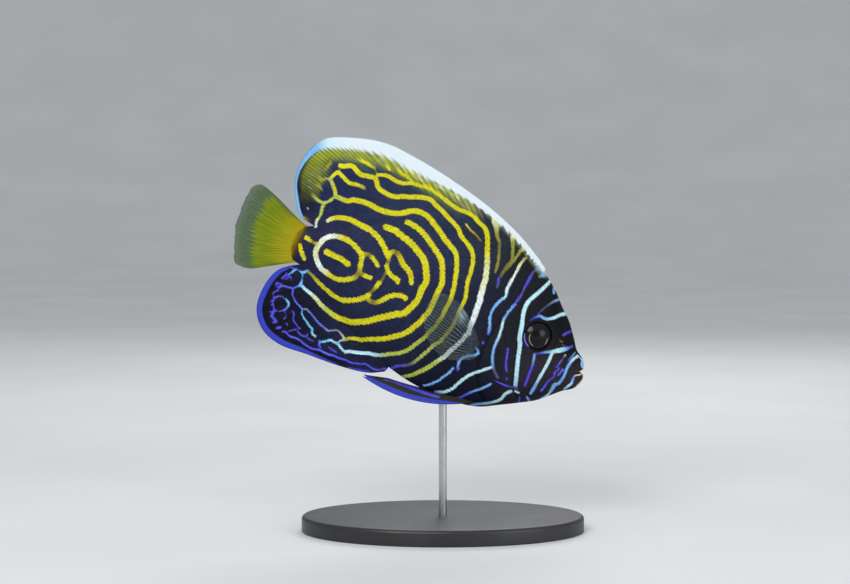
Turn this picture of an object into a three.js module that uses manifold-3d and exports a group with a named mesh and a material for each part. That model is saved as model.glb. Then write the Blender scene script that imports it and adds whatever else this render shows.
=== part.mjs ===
// A young emperor angelfish changing to its adult colours, life size, held head down on a small display stand.
// Millimetres, +Z up. The fish is drawn level first, x towards the snout, y to its left and z to its back,
// and is then turned head down and lifted over the stand. Both its sides are alike.
import * as THREE from 'three';
import { mergeVertices } from 'three/addons/utils/BufferGeometryUtils.js';
import Module from 'manifold-3d';

// How the fish is held
const HEAD_DOWN = THREE.MathUtils.degToRad(25);
const FISH_FORWARD = 6.4;
const FISH_HEIGHT = 72;
const GAP = 0.3;

// Body, as upright sections from the tail root to the snout: back x and z, belly x and z, half-width
const BODY_SECTIONS = [
  [-44, 4.7, -43.4, -6.8, 1.5],
  [-40, 7, -39.6, -7.4, 2.2],
  [-32, 12.7, -32, -11.3, 3.3],
  [-22, 18.5, -22, -17, 4.5],
  [-10, 23, -10, -22.3, 5.9],
  [4, 25.3, 4, -25.6, 7.3],
  [17, 25, 17, -25.9, 8.1],
  [27, 23.4, 27, -24, 8.1],
  [33.5, 19.5, 33.5, -20.4, 7.4],
  [38, 15.5, 38.6, -17.3, 6.4],
  [42, 12.2, 43, -14.4, 5.2],
  [45.6, 8, 46.3, -11.2, 4.1],
  [48, 5.1, 49.3, -8.2, 3.3],
  [50.8, 3.3, 51.9, -6.2, 2.6],
  [52, 1.1, 53, -4.2, 1.7],
];
const SECTION_POWER = 2.3;
const SECTION_TAPER = 0.68;
const SNOUT_BULGE = 0.25;
const BODY_RINGS = 42;
const BODY_AROUND = 26;
const INNER_RINGS = 21;
const INNER_AROUND = 14;
const CUT_REACH = 30;

// Cuts that part the body: across the tail root, along the gill opening and round the jaws
const TAIL_CUT = [[-34.5, 30], [-35.2, 8], [-35.8, -2], [-35, -30]];
const GILL_CUT = [[27.4, 40], [26, 20], [23.8, 9], [21.9, 1], [21.4, -6], [22.6, -13], [26.3, -19], [31, -24], [34, -30]];
const UPPER_JAW_CUT = [[47.2, 10], [48.2, 4], [49.2, 0.4], [49.9, -1.15]];
const LOWER_JAW_CUT = [[49.9, -1.15], [48.9, -3.6], [47.6, -7], [46.4, -13]];
const MOUTH = [[49.6, -1.35], [49.6, -1], [51, -0.15], [55, 1.5], [55, -0.55], [52.6, -0.75], [51, -1.3]];
const LIP_RADIUS = 0.75;

// Gill cover plate, seen from the side, and the spine at the corner of the cheek in front of it
const COVER_OUTLINE = [
  [24.6, 8.4], [28.2, 6], [30.2, 1], [31.7, -4.5], [33.4, -9.5], [34.8, -13.6],
  [34.4, -17.6], [31.5, -20.8], [27, -21.5], [21, -16], [19.6, -5], [20.5, 3],
];
const COVER_RISE = 0.25;
const COVER_DEPTH = 1.1;
const CHEEK_SPINE = { root: [36.4, -13.1], tip: [28.2, -13.8], rootRadius: 0.85, tipRadius: 0.25, lift: 1 };

// Eyes, nostrils
const EYE = { at: [34.7, 4.4], radius: 4.5, depth: 2.9, bulge: 0.95 };
const ORBIT_RIM = 0.45;
const NOSTRILS = [{ at: [41.9, 6.1], radius: 0.4, collar: 0 }, { at: [43.1, 5.2], radius: 0.35, collar: 0.18 }];
const NOSTRIL_DEPTH = 0.8;

// Fins: their outer edges seen from the side, and their rays
const FIN_SINK = 1.6;
const RAY_FLANK = 0.26;
const DORSAL = { front: 28.6, rear: -42.2, spines: 14, softRays: 20, spinyShare: 0.55 };
const DORSAL_EDGE = [
  [28.6, 23.7], [25, 25.9], [16, 30.2], [5, 33.7], [-8, 36.3], [-22, 38], [-33, 38.2], [-43, 35.4], [-50.6, 31.4],
  [-53.8, 25], [-54, 18], [-51.2, 11.2], [-47.4, 6.6], [-44, 5.9],
];
const ANAL = { front: -2.2, rear: -41.3, rays: 20 };
const ANAL_EDGE = [
  [-3.4, -26.2], [-8, -28.7], [-17, -30.5], [-27, -31.4], [-37, -32.2], [-43.5, -30.1], [-47.6, -25.2], [-48.5, -18],
  [-46.9, -11.8], [-44.2, -8.9],
];
const TAIL_FIN = { rays: 17 };
const TAIL_FIN_EDGE = [
  [-49.5, 5.9], [-57, 9.2], [-63, 10.3], [-64.9, 7.5], [-65.1, 1], [-64.3, -4.5], [-62.2, -10.3], [-60, -14.9],
  [-55.4, -15], [-49.5, -11.4],
];
const PECTORAL = { rays: 14, root: [[19.4, -5.4], [19.9, -8], [19.6, -10.6]], stand: 0.45, spread: 1.1 };
const PECTORAL_EDGE = [
  [9, 1.1], [2.2, 3.9], [-0.1, 1.2], [0, -4], [2.6, -9.2], [7.4, -12.8], [12.4, -13.6], [16.2, -12.2],
];
const PELVIC = { rays: 6, root: [[26.4, -23.4], [21.2, -24.3]], rootSide: 1.8, tipSide: 3.4 };
const PELVIC_EDGE = [[-9.1, -30.1], [-6, -29.2], [-1.5, -27.8]];

// Stand
const STAND_CENTRE = 10.4;
const BASE = { length: 88, width: 60, height: 5, bevel: 0.8 };
const ROD = { radius: 1.25, sink: 3.5 };

// Colours, roughness
const FINISHES = {
  body: { color: 0x22244a, roughness: 0.4 },
  head: { color: 0x16161e, roughness: 0.4 },
  gillCover: { color: 0x1c1c28, roughness: 0.4 },
  jaw: { color: 0x24222e, roughness: 0.4 },
  cheekSpine: { color: 0x5a64e0, roughness: 0.35 },
  eye: { color: 0x0a0a10, roughness: 0.1 },
  backFin: { color: 0x6e6f2e, roughness: 0.5 },
  tailFin: { color: 0xb9a519, roughness: 0.5 },
  bellyFin: { color: 0x2a2f86, roughness: 0.5 },
  clearFin: { color: 0x8fa3b8, roughness: 0.35 },
  standBase: { color: 0x1a1a1c, roughness: 0.45 },
  standRod: { color: 0xb8bcc0, roughness: 0.3, metalness: 0.9 },
};

const wasm = await Module();
wasm.setup();

function toSolid(geometry) {
  const bare = geometry.clone();
  bare.deleteAttribute('normal');
  bare.deleteAttribute('uv');
  const merged = mergeVertices(bare, 1e-5);
  return new wasm.Manifold(new wasm.Mesh({
    numProp: 3,
    vertProperties: Float32Array.from(merged.attributes.position.array),
    triVerts: Uint32Array.from(merged.index.array),
  }));
}

function toGeometry(solid) {
  const mesh = solid.getMesh();
  const geometry = new THREE.BufferGeometry();
  geometry.setAttribute('position', new THREE.BufferAttribute(mesh.vertProperties, 3));
  geometry.setIndex(new THREE.BufferAttribute(mesh.triVerts, 1));
  return geometry;
}

function largest(solid) {
  return solid.decompose().sort((a, b) => b.volume() - a.volume())[0];
}

// The two largest pieces left by a cut, the rear one first
function partedAt(solid, cut) {
  const pieces = solid.subtract(cut).decompose().sort((a, b) => b.volume() - a.volume()).slice(0, 2);
  const middle = (piece) => piece.boundingBox().min[0] + piece.boundingBox().max[0];
  return pieces.sort((a, b) => middle(a) - middle(b));
}

// A closed mesh from points and faces, turned so that its faces point out
function closedMesh(points, faces) {
  let volume = 0;
  for (const [a, b, c] of faces) {
    volume += points[a].dot(points[b].clone().cross(points[c]));
  }
  const outward = volume > 0 ? faces : faces.map(([a, b, c]) => [a, c, b]);
  const geometry = new THREE.BufferGeometry().setFromPoints(points);
  geometry.setIndex(outward.flat());
  return geometry;
}

function mirrored(geometry) {
  const copy = geometry.clone().scale(1, -1, 1);
  const index = copy.index.array;
  for (let i = 0; i < index.length; i += 3) {
    [index[i], index[i + 1]] = [index[i + 1], index[i]];
  }
  return copy;
}

function sideCurve(points, closed = false) {
  return new THREE.CatmullRomCurve3(points.map(([x, z]) => new THREE.Vector3(x, 0, z)), closed, 'centripetal');
}

// A prism along y between y = from and y = to, on an outline of x and z points
function sidePrism(outline, from, to) {
  const shape = new THREE.Shape(outline.map(([x, z]) => new THREE.Vector2(x, z)));
  const geometry = new THREE.ExtrudeGeometry(shape, { depth: to - from, bevelEnabled: false });
  return toSolid(geometry.rotateX(Math.PI / 2).translate(0, to, 0));
}

// The points of a side curve moved sideways by a distance
function beside(curve, count, distance) {
  const points = [];
  const last = curve.closed ? count - 1 : count;
  for (let i = 0; i <= last; i += 1) {
    const point = curve.getPoint(i / count);
    const tangent = curve.getTangent(i / count);
    points.push([point.x - tangent.z * distance, point.z + tangent.x * distance]);
  }
  return points;
}

// A thin sheet that cuts right through the body along a line seen from the side
function thinCut(line) {
  const curve = sideCurve(line);
  const count = line.length * 2;
  const outline = [...beside(curve, count, GAP / 2), ...beside(curve, count, -GAP / 2).reverse()];
  return sidePrism(outline, -CUT_REACH, CUT_REACH);
}

// Body sections
const backLine = sideCurve(BODY_SECTIONS.map(([x, z]) => [x, z]));
const bellyLine = sideCurve(BODY_SECTIONS.map((row) => [row[2], row[3]]));
const halfWidths = new THREE.SplineCurve(BODY_SECTIONS.map((row, i) => new THREE.Vector2(i, row[4])));

function section(t) {
  const back = backLine.getPoint(t);
  const belly = bellyLine.getPoint(t);
  return {
    middle: back.clone().add(belly).multiplyScalar(0.5),
    half: back.clone().sub(belly).multiplyScalar(0.5),
    width: halfWidths.getPoint(t).y,
  };
}

function fullness(s) {
  return Math.pow(Math.max(0, 1 - Math.pow(Math.abs(s), SECTION_POWER)), SECTION_TAPER);
}

// Half the body's width at a place seen from the side
function halfWidthAt(x, z) {
  const place = new THREE.Vector3(x, 0, z);
  let low = 0;
  let high = 1;
  for (let i = 0; i < 30; i += 1) {
    const t = (low + high) / 2;
    const { middle, half } = section(t);
    const ahead = half.clone().cross(place.clone().sub(middle)).y;
    [low, high] = ahead > 0 ? [t, high] : [low, t];
  }
  const { middle, half, width } = section(low);
  return width * fullness(place.sub(middle).dot(half) / half.lengthSq());
}

// The whole body in one piece, grown outwards by a distance
function bodyShape(grow, ringCount = BODY_RINGS, around = BODY_AROUND) {
  const points = [];
  const faces = [];
  for (let i = 0; i <= ringCount; i += 1) {
    const { middle, half, width } = section(i / ringCount);
    const reach = half.clone().multiplyScalar(1 + grow / half.length());
    const shift = i === 0 ? -grow : 0;
    for (let j = 0; j < around; j += 1) {
      const angle = (2 * Math.PI * j) / around;
      const s = Math.sin(angle);
      const y = Math.sign(Math.cos(angle)) * (width + grow) * fullness(s);
      points.push(middle.clone().addScaledVector(reach, s).add(new THREE.Vector3(shift, y, 0)));
    }
  }
  for (let i = 0; i < ringCount; i += 1) {
    for (let j = 0; j < around; j += 1) {
      const k = (j + 1) % around;
      const [a, b] = [i * around + j, i * around + k];
      const [c, d] = [a + around, b + around];
      faces.push([a, b, d], [a, d, c]);
    }
  }
  const tail = points.length;
  points.push(section(0).middle.add(new THREE.Vector3(-grow, 0, 0)));
  points.push(section(1).middle.add(new THREE.Vector3(SNOUT_BULGE + grow, 0, 0)));
  for (let j = 0; j < around; j += 1) {
    const k = (j + 1) % around;
    const last = ringCount * around;
    faces.push([tail, k, j], [tail + 1, last + j, last + k]);
  }
  return toSolid(closedMesh(points, faces));
}

// A coarser body shape under the gill covers
function innerBody(grow) {
  return bodyShape(grow, INNER_RINGS, INNER_AROUND);
}

// A round rod along points, tapered from one radius to another, with closed ends
function taperedRod(curve, fromRadius, toRadius, steps, sides) {
  const frames = curve.computeFrenetFrames(steps, false);
  const points = [];
  const faces = [];
  for (let i = 0; i <= steps; i += 1) {
    const centre = curve.getPointAt(i / steps);
    const radius = THREE.MathUtils.lerp(fromRadius, toRadius, i / steps);
    for (let j = 0; j < sides; j += 1) {
      const angle = (2 * Math.PI * j) / sides;
      points.push(centre.clone()
        .addScaledVector(frames.normals[i], radius * Math.cos(angle))
        .addScaledVector(frames.binormals[i], radius * Math.sin(angle)));
    }
  }
  for (let i = 0; i < steps; i += 1) {
    for (let j = 0; j < sides; j += 1) {
      const k = (j + 1) % sides;
      const [a, b] = [i * sides + j, i * sides + k];
      const [c, d] = [a + sides, b + sides];
      faces.push([a, b, d], [a, d, c]);
    }
  }
  const last = steps * sides;
  for (let j = 1; j < sides - 1; j += 1) {
    faces.push([0, j + 1, j], [last, last + j, last + j + 1]);
  }
  return closedMesh(points, faces);
}

// A round object turned so that its own z points out of the right flank at a place, and sunk by a depth
function onRightFlank(geometry, [x, z], sink) {
  const step = 0.5;
  const y = halfWidthAt(x, z);
  const slopeX = (halfWidthAt(x + step, z) - halfWidthAt(x - step, z)) / (2 * step);
  const slopeZ = (halfWidthAt(x, z + step) - halfWidthAt(x, z - step)) / (2 * step);
  const outward = new THREE.Vector3(-slopeX, -1, -slopeZ).normalize();
  const turn = new THREE.Quaternion().setFromUnitVectors(new THREE.Vector3(0, 0, 1), outward);
  const place = new THREE.Vector3(x, -y, z).addScaledVector(outward, -sink);
  return geometry.applyQuaternion(turn).translate(place.x, place.y, place.z);
}

// The places of a number of rays, spread evenly over a share of a fin
function rayPlaces(count, from = 0, to = 1) {
  return Array.from({ length: count }, (_, i) => THREE.MathUtils.lerp(from, to, (i + 0.5) / count));
}

// Columns across a fin: each ray is a crest with the membrane lower on both sides of it
function rayColumns(places) {
  const columns = [{ u: 0, crest: 0 }];
  places.forEach((u, i) => {
    const spacing = Math.min(u - (places[i - 1] ?? -u), (places[i + 1] ?? 2 - u) - u);
    const flank = RAY_FLANK * spacing;
    columns.push({ u: u - flank, crest: 0 }, { u, crest: 1 }, { u: u + flank, crest: 0 });
  });
  columns.push({ u: 1, crest: 0 });
  return columns;
}

// A point of a fin's middle sheet, from its root line (v = 0) to its edge line (v = 1), on a ray bent by bow
function finPoint({ root, edge, bow }, u, v) {
  const from = root(u);
  const along = edge(u).sub(from);
  const across = new THREE.Vector3(-along.z, 0, along.x).multiplyScalar(bow(u));
  return from.addScaledVector(along, v).addScaledVector(across, 4 * v * (1 - v));
}

// A fin as one sheet with its rays raised in both faces. thick is half the thickness at root and edge,
// ridge the height of a ray, lean how far to the side the middle of the sheet stands.
function finSheet(fin) {
  const { rays, rows, thick, ridge, lean = () => 0 } = fin;
  const columns = rayColumns(rays);
  const points = [];
  for (const side of [1, -1]) {
    for (const { u, crest } of columns) {
      for (let i = 0; i <= rows; i += 1) {
        const v = i / rows;
        const half = THREE.MathUtils.lerp(thick[0], thick[1], Math.sqrt(v)) + crest * ridge * (1 - 0.55 * v);
        points.push(finPoint(fin, u, v).add(new THREE.Vector3(0, lean(u, v) + side * half, 0)));
      }
    }
  }
  const faces = [];
  const stride = rows + 1;
  const other = columns.length * stride;
  for (let c = 0; c < columns.length - 1; c += 1) {
    for (let i = 0; i < rows; i += 1) {
      const a = c * stride + i;
      const [b, d] = [a + 1, a + stride];
      const e = d + 1;
      faces.push([a, b, e], [a, e, d], [a + other, e + other, b + other], [a + other, d + other, e + other]);
    }
  }
  const rim = [];
  for (let c = 0; c < columns.length; c += 1) {
    rim.push(c * stride);
  }
  for (let i = 1; i <= rows; i += 1) {
    rim.push((columns.length - 1) * stride + i);
  }
  for (let c = columns.length - 2; c >= 0; c -= 1) {
    rim.push(c * stride + rows);
  }
  for (let i = rows - 1; i > 0; i -= 1) {
    rim.push(i);
  }
  rim.forEach((a, i) => {
    const b = rim[(i + 1) % rim.length];
    faces.push([a, b, b + other], [a, b + other, a + other]);
  });
  return closedMesh(points, faces);
}

// The place along a body line where it passes x
function paramAt(line, x) {
  let low = 0;
  let high = 1;
  for (let i = 0; i < 30; i += 1) {
    const t = (low + high) / 2;
    [low, high] = line.getPoint(t).x < x ? [t, high] : [low, t];
  }
  return low;
}

// A fin's root along the back or the belly, sunk into the body for the later cut
function rootAlong(line, front, rear, sink) {
  const from = paramAt(line, front);
  const to = paramAt(line, rear);
  return (u) => line.getPoint(THREE.MathUtils.lerp(from, to, u)).add(new THREE.Vector3(0, 0, sink));
}

const whole = bodyShape(0);
const clearOfBody = bodyShape(GAP);

// The spiny front part and the soft rear part of the fin along the back
function backFins() {
  const edge = sideCurve(DORSAL_EDGE);
  const { spines, softRays, spinyShare } = DORSAL;
  const fin = {
    root: rootAlong(backLine, DORSAL.front, DORSAL.rear, -FIN_SINK),
    edge: (u) => edge.getPoint(u),
    rays: [...rayPlaces(spines, 0, spinyShare), ...rayPlaces(softRays, spinyShare, 1)],
    rows: 4,
    bow: (u) => -0.04 * Math.sin(Math.PI * u),
    thick: [1, 0.25],
    ridge: 0.24,
  };
  const seam = Array.from({ length: 8 }, (_, i) => finPoint(fin, spinyShare, i / 6 - 0.1));
  const cut = thinCut(seam.map(({ x, z }) => [x, z]));
  return partedAt(toSolid(finSheet(fin)).subtract(clearOfBody), cut);
}

function analFin() {
  const edge = sideCurve(ANAL_EDGE);
  const sheet = finSheet({
    root: rootAlong(bellyLine, ANAL.front, ANAL.rear, FIN_SINK),
    edge: (u) => edge.getPoint(u),
    rays: rayPlaces(ANAL.rays),
    rows: 4,
    bow: (u) => 0.05 * (1 - u),
    thick: [0.9, 0.25],
    ridge: 0.2,
  });
  return largest(toSolid(sheet).subtract(clearOfBody));
}

function tailFin() {
  const { middle, half } = section(0);
  const edge = sideCurve(TAIL_FIN_EDGE);
  return finSheet({
    root: (u) => middle.clone().addScaledVector(half, 0.96 * (1 - 2 * u)).add(new THREE.Vector3(-GAP, 0, 0)),
    edge: (u) => edge.getPoint(u),
    rays: rayPlaces(TAIL_FIN.rays),
    rows: 4,
    bow: () => 0,
    thick: [1.1, 0.25],
    ridge: 0.22,
  });
}

function rightPectoral() {
  const rootLine = sideCurve(PECTORAL.root);
  const edge = sideCurve(PECTORAL_EDGE);
  const root = (u) => rootLine.getPoint(u);
  const lean = (u, v) => {
    const { x, z } = root(u);
    const rise = THREE.MathUtils.smoothstep(v, 0, 0.16) * (1 + PECTORAL.stand) - 1;
    return -(halfWidthAt(x, z) + rise + PECTORAL.spread * v);
  };
  const sheet = finSheet({
    root,
    edge: (u) => edge.getPoint(u),
    rays: rayPlaces(PECTORAL.rays),
    rows: 4,
    bow: () => 0,
    thick: [0.5, 0.2],
    ridge: 0.12,
    lean,
  });
  return largest(toSolid(sheet).subtract(clearOfBody));
}

function rightPelvic() {
  const rootLine = sideCurve(PELVIC.root);
  const edge = sideCurve(PELVIC_EDGE);
  const sheet = finSheet({
    root: (u) => rootLine.getPoint(u).add(new THREE.Vector3(0, 0, 1)),
    edge: (u) => edge.getPoint(u),
    rays: rayPlaces(PELVIC.rays),
    rows: 6,
    bow: (u) => THREE.MathUtils.lerp(0.105, 0.02, u),
    thick: [0.45, 0.2],
    ridge: 0.12,
    lean: (u, v) => -THREE.MathUtils.lerp(PELVIC.rootSide, PELVIC.tipSide, Math.sqrt(v)),
  });
  return largest(toSolid(sheet).subtract(clearOfBody));
}

// Head, jaws and what the head carries
function rightCover(gillCut) {
  const shell = bodyShape(COVER_RISE).subtract(innerBody(-COVER_DEPTH));
  const outline = sideCurve(COVER_OUTLINE, true);
  const plate = sidePrism(beside(outline, 24, 0), -CUT_REACH, -1);
  return largest(shell.intersect(plate).subtract(gillCut));
}

function coverRecess() {
  const outline = sideCurve(COVER_OUTLINE, true);
  return sidePrism(beside(outline, 24, GAP), -CUT_REACH, -1).subtract(innerBody(-COVER_DEPTH - GAP));
}

function rightCheekSpine() {
  const { root, tip, rootRadius, tipRadius, lift } = CHEEK_SPINE;
  const points = [];
  for (let i = 0; i <= 4; i += 1) {
    const x = THREE.MathUtils.lerp(root[0], tip[0], i / 4);
    const z = THREE.MathUtils.lerp(root[1], tip[1], i / 4);
    points.push(new THREE.Vector3(x, -halfWidthAt(x, z) - (lift * (i + 0.5)) / 4, z));
  }
  const spine = toSolid(taperedRod(new THREE.CatmullRomCurve3(points), rootRadius, tipRadius, 8, 8));
  const outline = sideCurve(COVER_OUTLINE, true);
  const overCover = bodyShape(COVER_RISE + GAP).intersect(sidePrism(beside(outline, 24, GAP), -CUT_REACH, -1));
  return largest(spine.subtract(clearOfBody).subtract(overCover));
}

function rightEye(grow) {
  const { at, radius, depth, bulge } = EYE;
  const ball = new THREE.SphereGeometry(1, 18, 10).scale(radius + grow, radius + grow, depth + grow);
  return onRightFlank(ball, at, depth - bulge);
}

function lip(corner, side, front) {
  const points = [corner, side, front].map(([x, y, z]) => new THREE.Vector3(x, y, z));
  const round = [...points, ...points.slice(0, 2).reverse().map((point) => point.clone().setY(-point.y))];
  return toSolid(taperedRod(new THREE.CatmullRomCurve3(round), LIP_RADIUS, LIP_RADIUS, 8, 6));
}

function bothSides(geometry) {
  return [toSolid(geometry), toSolid(mirrored(geometry))];
}

const tailCut = thinCut(TAIL_CUT);
const gillCut = thinCut(GILL_CUT);
const jawCut = thinCut(UPPER_JAW_CUT).add(thinCut(LOWER_JAW_CUT)).add(sidePrism(MOUTH, -CUT_REACH, CUT_REACH));
const [rearBody, headBlock] = partedAt(whole, gillCut);
const [tailRoot, torsoBlock] = partedAt(rearBody, tailCut);
const headPieces = headBlock.subtract(jawCut).decompose().sort((a, b) => b.volume() - a.volume()).slice(0, 3);
const [skull, ...jaws] = headPieces;
const [lowerJaw, upperJaw] = jaws.sort((a, b) => a.boundingBox().min[2] - b.boundingBox().min[2]);

function head() {
  let shape = skull;
  const rim = onRightFlank(new THREE.TorusGeometry(EYE.radius + ORBIT_RIM, ORBIT_RIM, 5, 22), EYE.at, 0.15);
  const added = bothSides(rim);
  for (const { at, radius, collar } of NOSTRILS.filter((nostril) => nostril.collar > 0)) {
    const ring = new THREE.TorusGeometry(radius + collar * 0.8, collar, 4, 8);
    added.push(...bothSides(onRightFlank(ring, at, 0)));
  }
  for (const piece of added) {
    shape = shape.add(piece);
  }
  const taken = [];
  for (const { at, radius } of NOSTRILS) {
    const pit = new THREE.CylinderGeometry(radius, radius, 2 * NOSTRIL_DEPTH, 8).rotateX(Math.PI / 2);
    taken.push(...bothSides(onRightFlank(pit, at, 0)));
  }
  taken.push(...bothSides(rightEye(GAP)), ...bothSides(toGeometry(coverRecess())));
  for (const piece of taken) {
    shape = shape.subtract(piece);
  }
  return largest(shape);
}

// Stand, and the place of the fish over it
const toStand = new THREE.Matrix4().makeRotationY(HEAD_DOWN).setPosition(FISH_FORWARD, 0, FISH_HEIGHT);

// The height of the fish's belly over the middle of the stand
function bellyHeight() {
  let lowest = FISH_HEIGHT;
  for (let i = 0; i <= 200; i += 1) {
    const point = bellyLine.getPoint(i / 200).applyMatrix4(toStand);
    if (Math.abs(point.x - STAND_CENTRE) < 1) {
      lowest = Math.min(lowest, point.z);
    }
  }
  return lowest;
}

function standRod(grow) {
  const bottom = BASE.height / 2;
  const top = bellyHeight() + ROD.sink;
  const rod = new THREE.CylinderGeometry(ROD.radius + grow, ROD.radius + grow, top - bottom + 2 * grow, 16);
  return rod.rotateX(Math.PI / 2).translate(STAND_CENTRE, 0, (top + bottom) / 2);
}

function standBase() {
  const { length, width, height, bevel } = BASE;
  const shape = new THREE.Shape().absellipse(0, 0, length / 2 - bevel, width / 2 - bevel, 0, 2 * Math.PI);
  const plate = new THREE.ExtrudeGeometry(shape, {
    depth: height - 2 * bevel, bevelThickness: bevel, bevelSize: bevel, bevelSegments: 2, curveSegments: 16,
  });
  return toSolid(plate.translate(STAND_CENTRE, 0, bevel)).subtract(toSolid(standRod(GAP)));
}

const rodSocket = toSolid(standRod(GAP).applyMatrix4(toStand.clone().invert()));
const torso = largest(torsoBlock.subtract(rodSocket));

const fish = new THREE.Group();
fish.applyMatrix4(toStand);
const object = new THREE.Group();
object.add(fish);

function place(group, name, geometry, finish) {
  const mesh = new THREE.Mesh(geometry, new THREE.MeshStandardMaterial(FINISHES[finish]));
  mesh.name = name;
  group.add(mesh);
}

function placePair(name, rightGeometry, finish) {
  place(fish, `${name}_right`, rightGeometry, finish);
  place(fish, `${name}_left`, mirrored(rightGeometry), finish);
}

const [softDorsal, spinyDorsal] = backFins();
const upperLip = lip([49.7, -2.3, 0.2], [51, -1.8, 1.2], [51.5, 0, 1.45]);
const lowerLip = lip([50, -2.3, -2.4], [51.9, -1.7, -1.95], [52.6, 0, -1.9]);
const mouthOpening = sidePrism(MOUTH, -CUT_REACH, CUT_REACH);

place(fish, 'head', toGeometry(head()), 'head');
place(fish, 'upper_jaw', toGeometry(largest(upperJaw.add(upperLip).subtract(mouthOpening))), 'jaw');
place(fish, 'lower_jaw', toGeometry(largest(lowerJaw.add(lowerLip).subtract(mouthOpening))), 'jaw');
place(fish, 'torso', toGeometry(torso), 'body');
place(fish, 'tail_root', toGeometry(tailRoot), 'body');
placePair('gill_cover', toGeometry(rightCover(gillCut)), 'gillCover');
placePair('cheek_spine', toGeometry(rightCheekSpine()), 'cheekSpine');
placePair('eye', rightEye(0), 'eye');
place(fish, 'dorsal_fin_spiny', toGeometry(spinyDorsal), 'backFin');
place(fish, 'dorsal_fin_soft', toGeometry(softDorsal), 'backFin');
place(fish, 'anal_fin', toGeometry(analFin()), 'bellyFin');
place(fish, 'tail_fin', tailFin(), 'tailFin');
placePair('pectoral_fin', toGeometry(rightPectoral()), 'clearFin');
placePair('pelvic_fin', toGeometry(rightPelvic()), 'bellyFin');
place(object, 'stand_base', toGeometry(standBase()), 'standBase');
place(object, 'stand_rod', standRod(0), 'standRod');

export default object;
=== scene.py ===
import math

import bpy
import numpy as np
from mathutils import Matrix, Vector


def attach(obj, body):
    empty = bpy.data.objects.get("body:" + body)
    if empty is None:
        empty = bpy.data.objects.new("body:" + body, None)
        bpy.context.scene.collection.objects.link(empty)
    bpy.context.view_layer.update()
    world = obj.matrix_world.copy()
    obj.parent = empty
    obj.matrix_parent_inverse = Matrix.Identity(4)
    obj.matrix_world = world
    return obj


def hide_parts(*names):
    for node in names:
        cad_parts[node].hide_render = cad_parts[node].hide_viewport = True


bl_info = {
    "name": "Emperor Angelfish Display Model",
    "version": (1, 0, 0),
    "blender": (4, 5, 0),
    "location": "3D View > Sidebar > Angelfish",
    "description": "Dresses the angelfish model with its skin, scales, fins, eyes and stand",
    "category": "Object",
}

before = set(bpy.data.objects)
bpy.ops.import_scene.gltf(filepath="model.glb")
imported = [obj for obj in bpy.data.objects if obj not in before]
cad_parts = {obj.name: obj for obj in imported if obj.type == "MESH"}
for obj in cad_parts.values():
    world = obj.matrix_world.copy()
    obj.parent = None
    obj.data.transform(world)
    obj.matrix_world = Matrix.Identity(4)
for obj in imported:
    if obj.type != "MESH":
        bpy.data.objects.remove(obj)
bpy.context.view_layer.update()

# Sizes are in millimetres along the fish: x forward to the lips, y to its left, z up its back.
# The fish is then turned head down and lifted onto its stand.
MM = 0.001
HEAD_DOWN = math.radians(25)
FISH_FORWARD = 6.4
FISH_HEIGHT = 72.0
SIDES = ((-1, "right"), (1, "left"))

# Cross-sections from tail to lips: back line x and z, belly line x and z, half the width
SECTIONS = np.array([
    (-44, 4.7, -43.4, -6.8, 1.5), (-40, 7, -39.6, -7.4, 2.2), (-32, 12.7, -32, -11.3, 3.3),
    (-22, 18.5, -22, -17, 4.5), (-10, 23, -10, -22.3, 5.9), (4, 25.3, 4, -25.6, 7.3),
    (17, 25, 17, -25.9, 8.1), (27, 23.4, 27, -24, 8.1), (33.5, 19.5, 33.5, -20.4, 7.4),
    (38, 15.5, 38.6, -17.3, 6.4), (42, 12.2, 43, -14.4, 5.2), (45.6, 8, 46.3, -11.2, 4.1),
    (48, 5.1, 49.3, -8.2, 3.3), (50.8, 3.3, 51.9, -6.2, 2.6), (52, 1.1, 53, -4.2, 1.7),
])
SECTION_POWER = 2.3
SECTION_TAPER = 0.68
SNOUT = 46.0
BODY_ROWS = 108
TAIL_CAP = 9

# Fins: their rays, how finely they are drawn, half the thickness at root and edge, and how far the
# rays are raised; the tail fin has half its thickness at the root and how much less it has at the edge
BACK_FIN = {
    "front": 28.6, "rear": -42.2, "spines": 14, "rays": 20, "spiny": 0.55, "rows": 38,
    "half": (0.62, 0.2), "ridge": 0.16,
}
BACK_EDGE = [
    (28.6, 23.7), (25, 25.9), (16, 30.2), (5, 33.7), (-8, 36.3), (-22, 38), (-33, 38.2), (-43, 35.4),
    (-50.6, 31.4), (-53.8, 25), (-54, 18), (-51.2, 11.2), (-47.4, 6.6), (-44, 5.9),
]
ANAL_FIN = {"front": -2.2, "rear": -41.3, "rays": 20, "rows": 30, "half": (0.55, 0.2), "ridge": 0.14}
ANAL_EDGE = [
    (-3.4, -26.2), (-8, -28.7), (-17, -30.5), (-27, -31.4), (-37, -32.2), (-43.5, -30.1),
    (-47.6, -25.2), (-48.5, -18), (-46.9, -11.8), (-44.2, -8.9),
]
TAIL_FIN = {"rays": 17, "per_ray": 16, "rows": 56, "half": 0.58, "thinner": 0.42}
TAIL_EDGE = [
    (-49.5, 5.9), (-57, 9.2), (-63, 10.3), (-64.9, 7.5), (-65.1, 1), (-64.3, -4.5), (-62.2, -10.3),
    (-60, -14.9), (-55.4, -15), (-49.5, -11.4),
]
TAIL_YELLOW = [
    (-43, 6), (-50, 5.9), (-54, 7.6), (-57.6, 8.2), (-58.6, 7), (-59, 5.5), (-58.9, 3), (-59.1, 1),
    (-59.2, -1), (-58.6, -3), (-57.7, -5), (-57, -7), (-56.2, -9.5), (-55.4, -11.5), (-54, -13.6),
    (-48, -10.8), (-43, -8),
]
PECTORAL_FIN = {"rays": 17, "per_ray": 8, "rows": 44, "half": (0.34, 0.08), "ridge": 0.1}
PECTORAL_ROOT = [(19.4, -5.4), (19.9, -8), (19.6, -10.6)]
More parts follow.
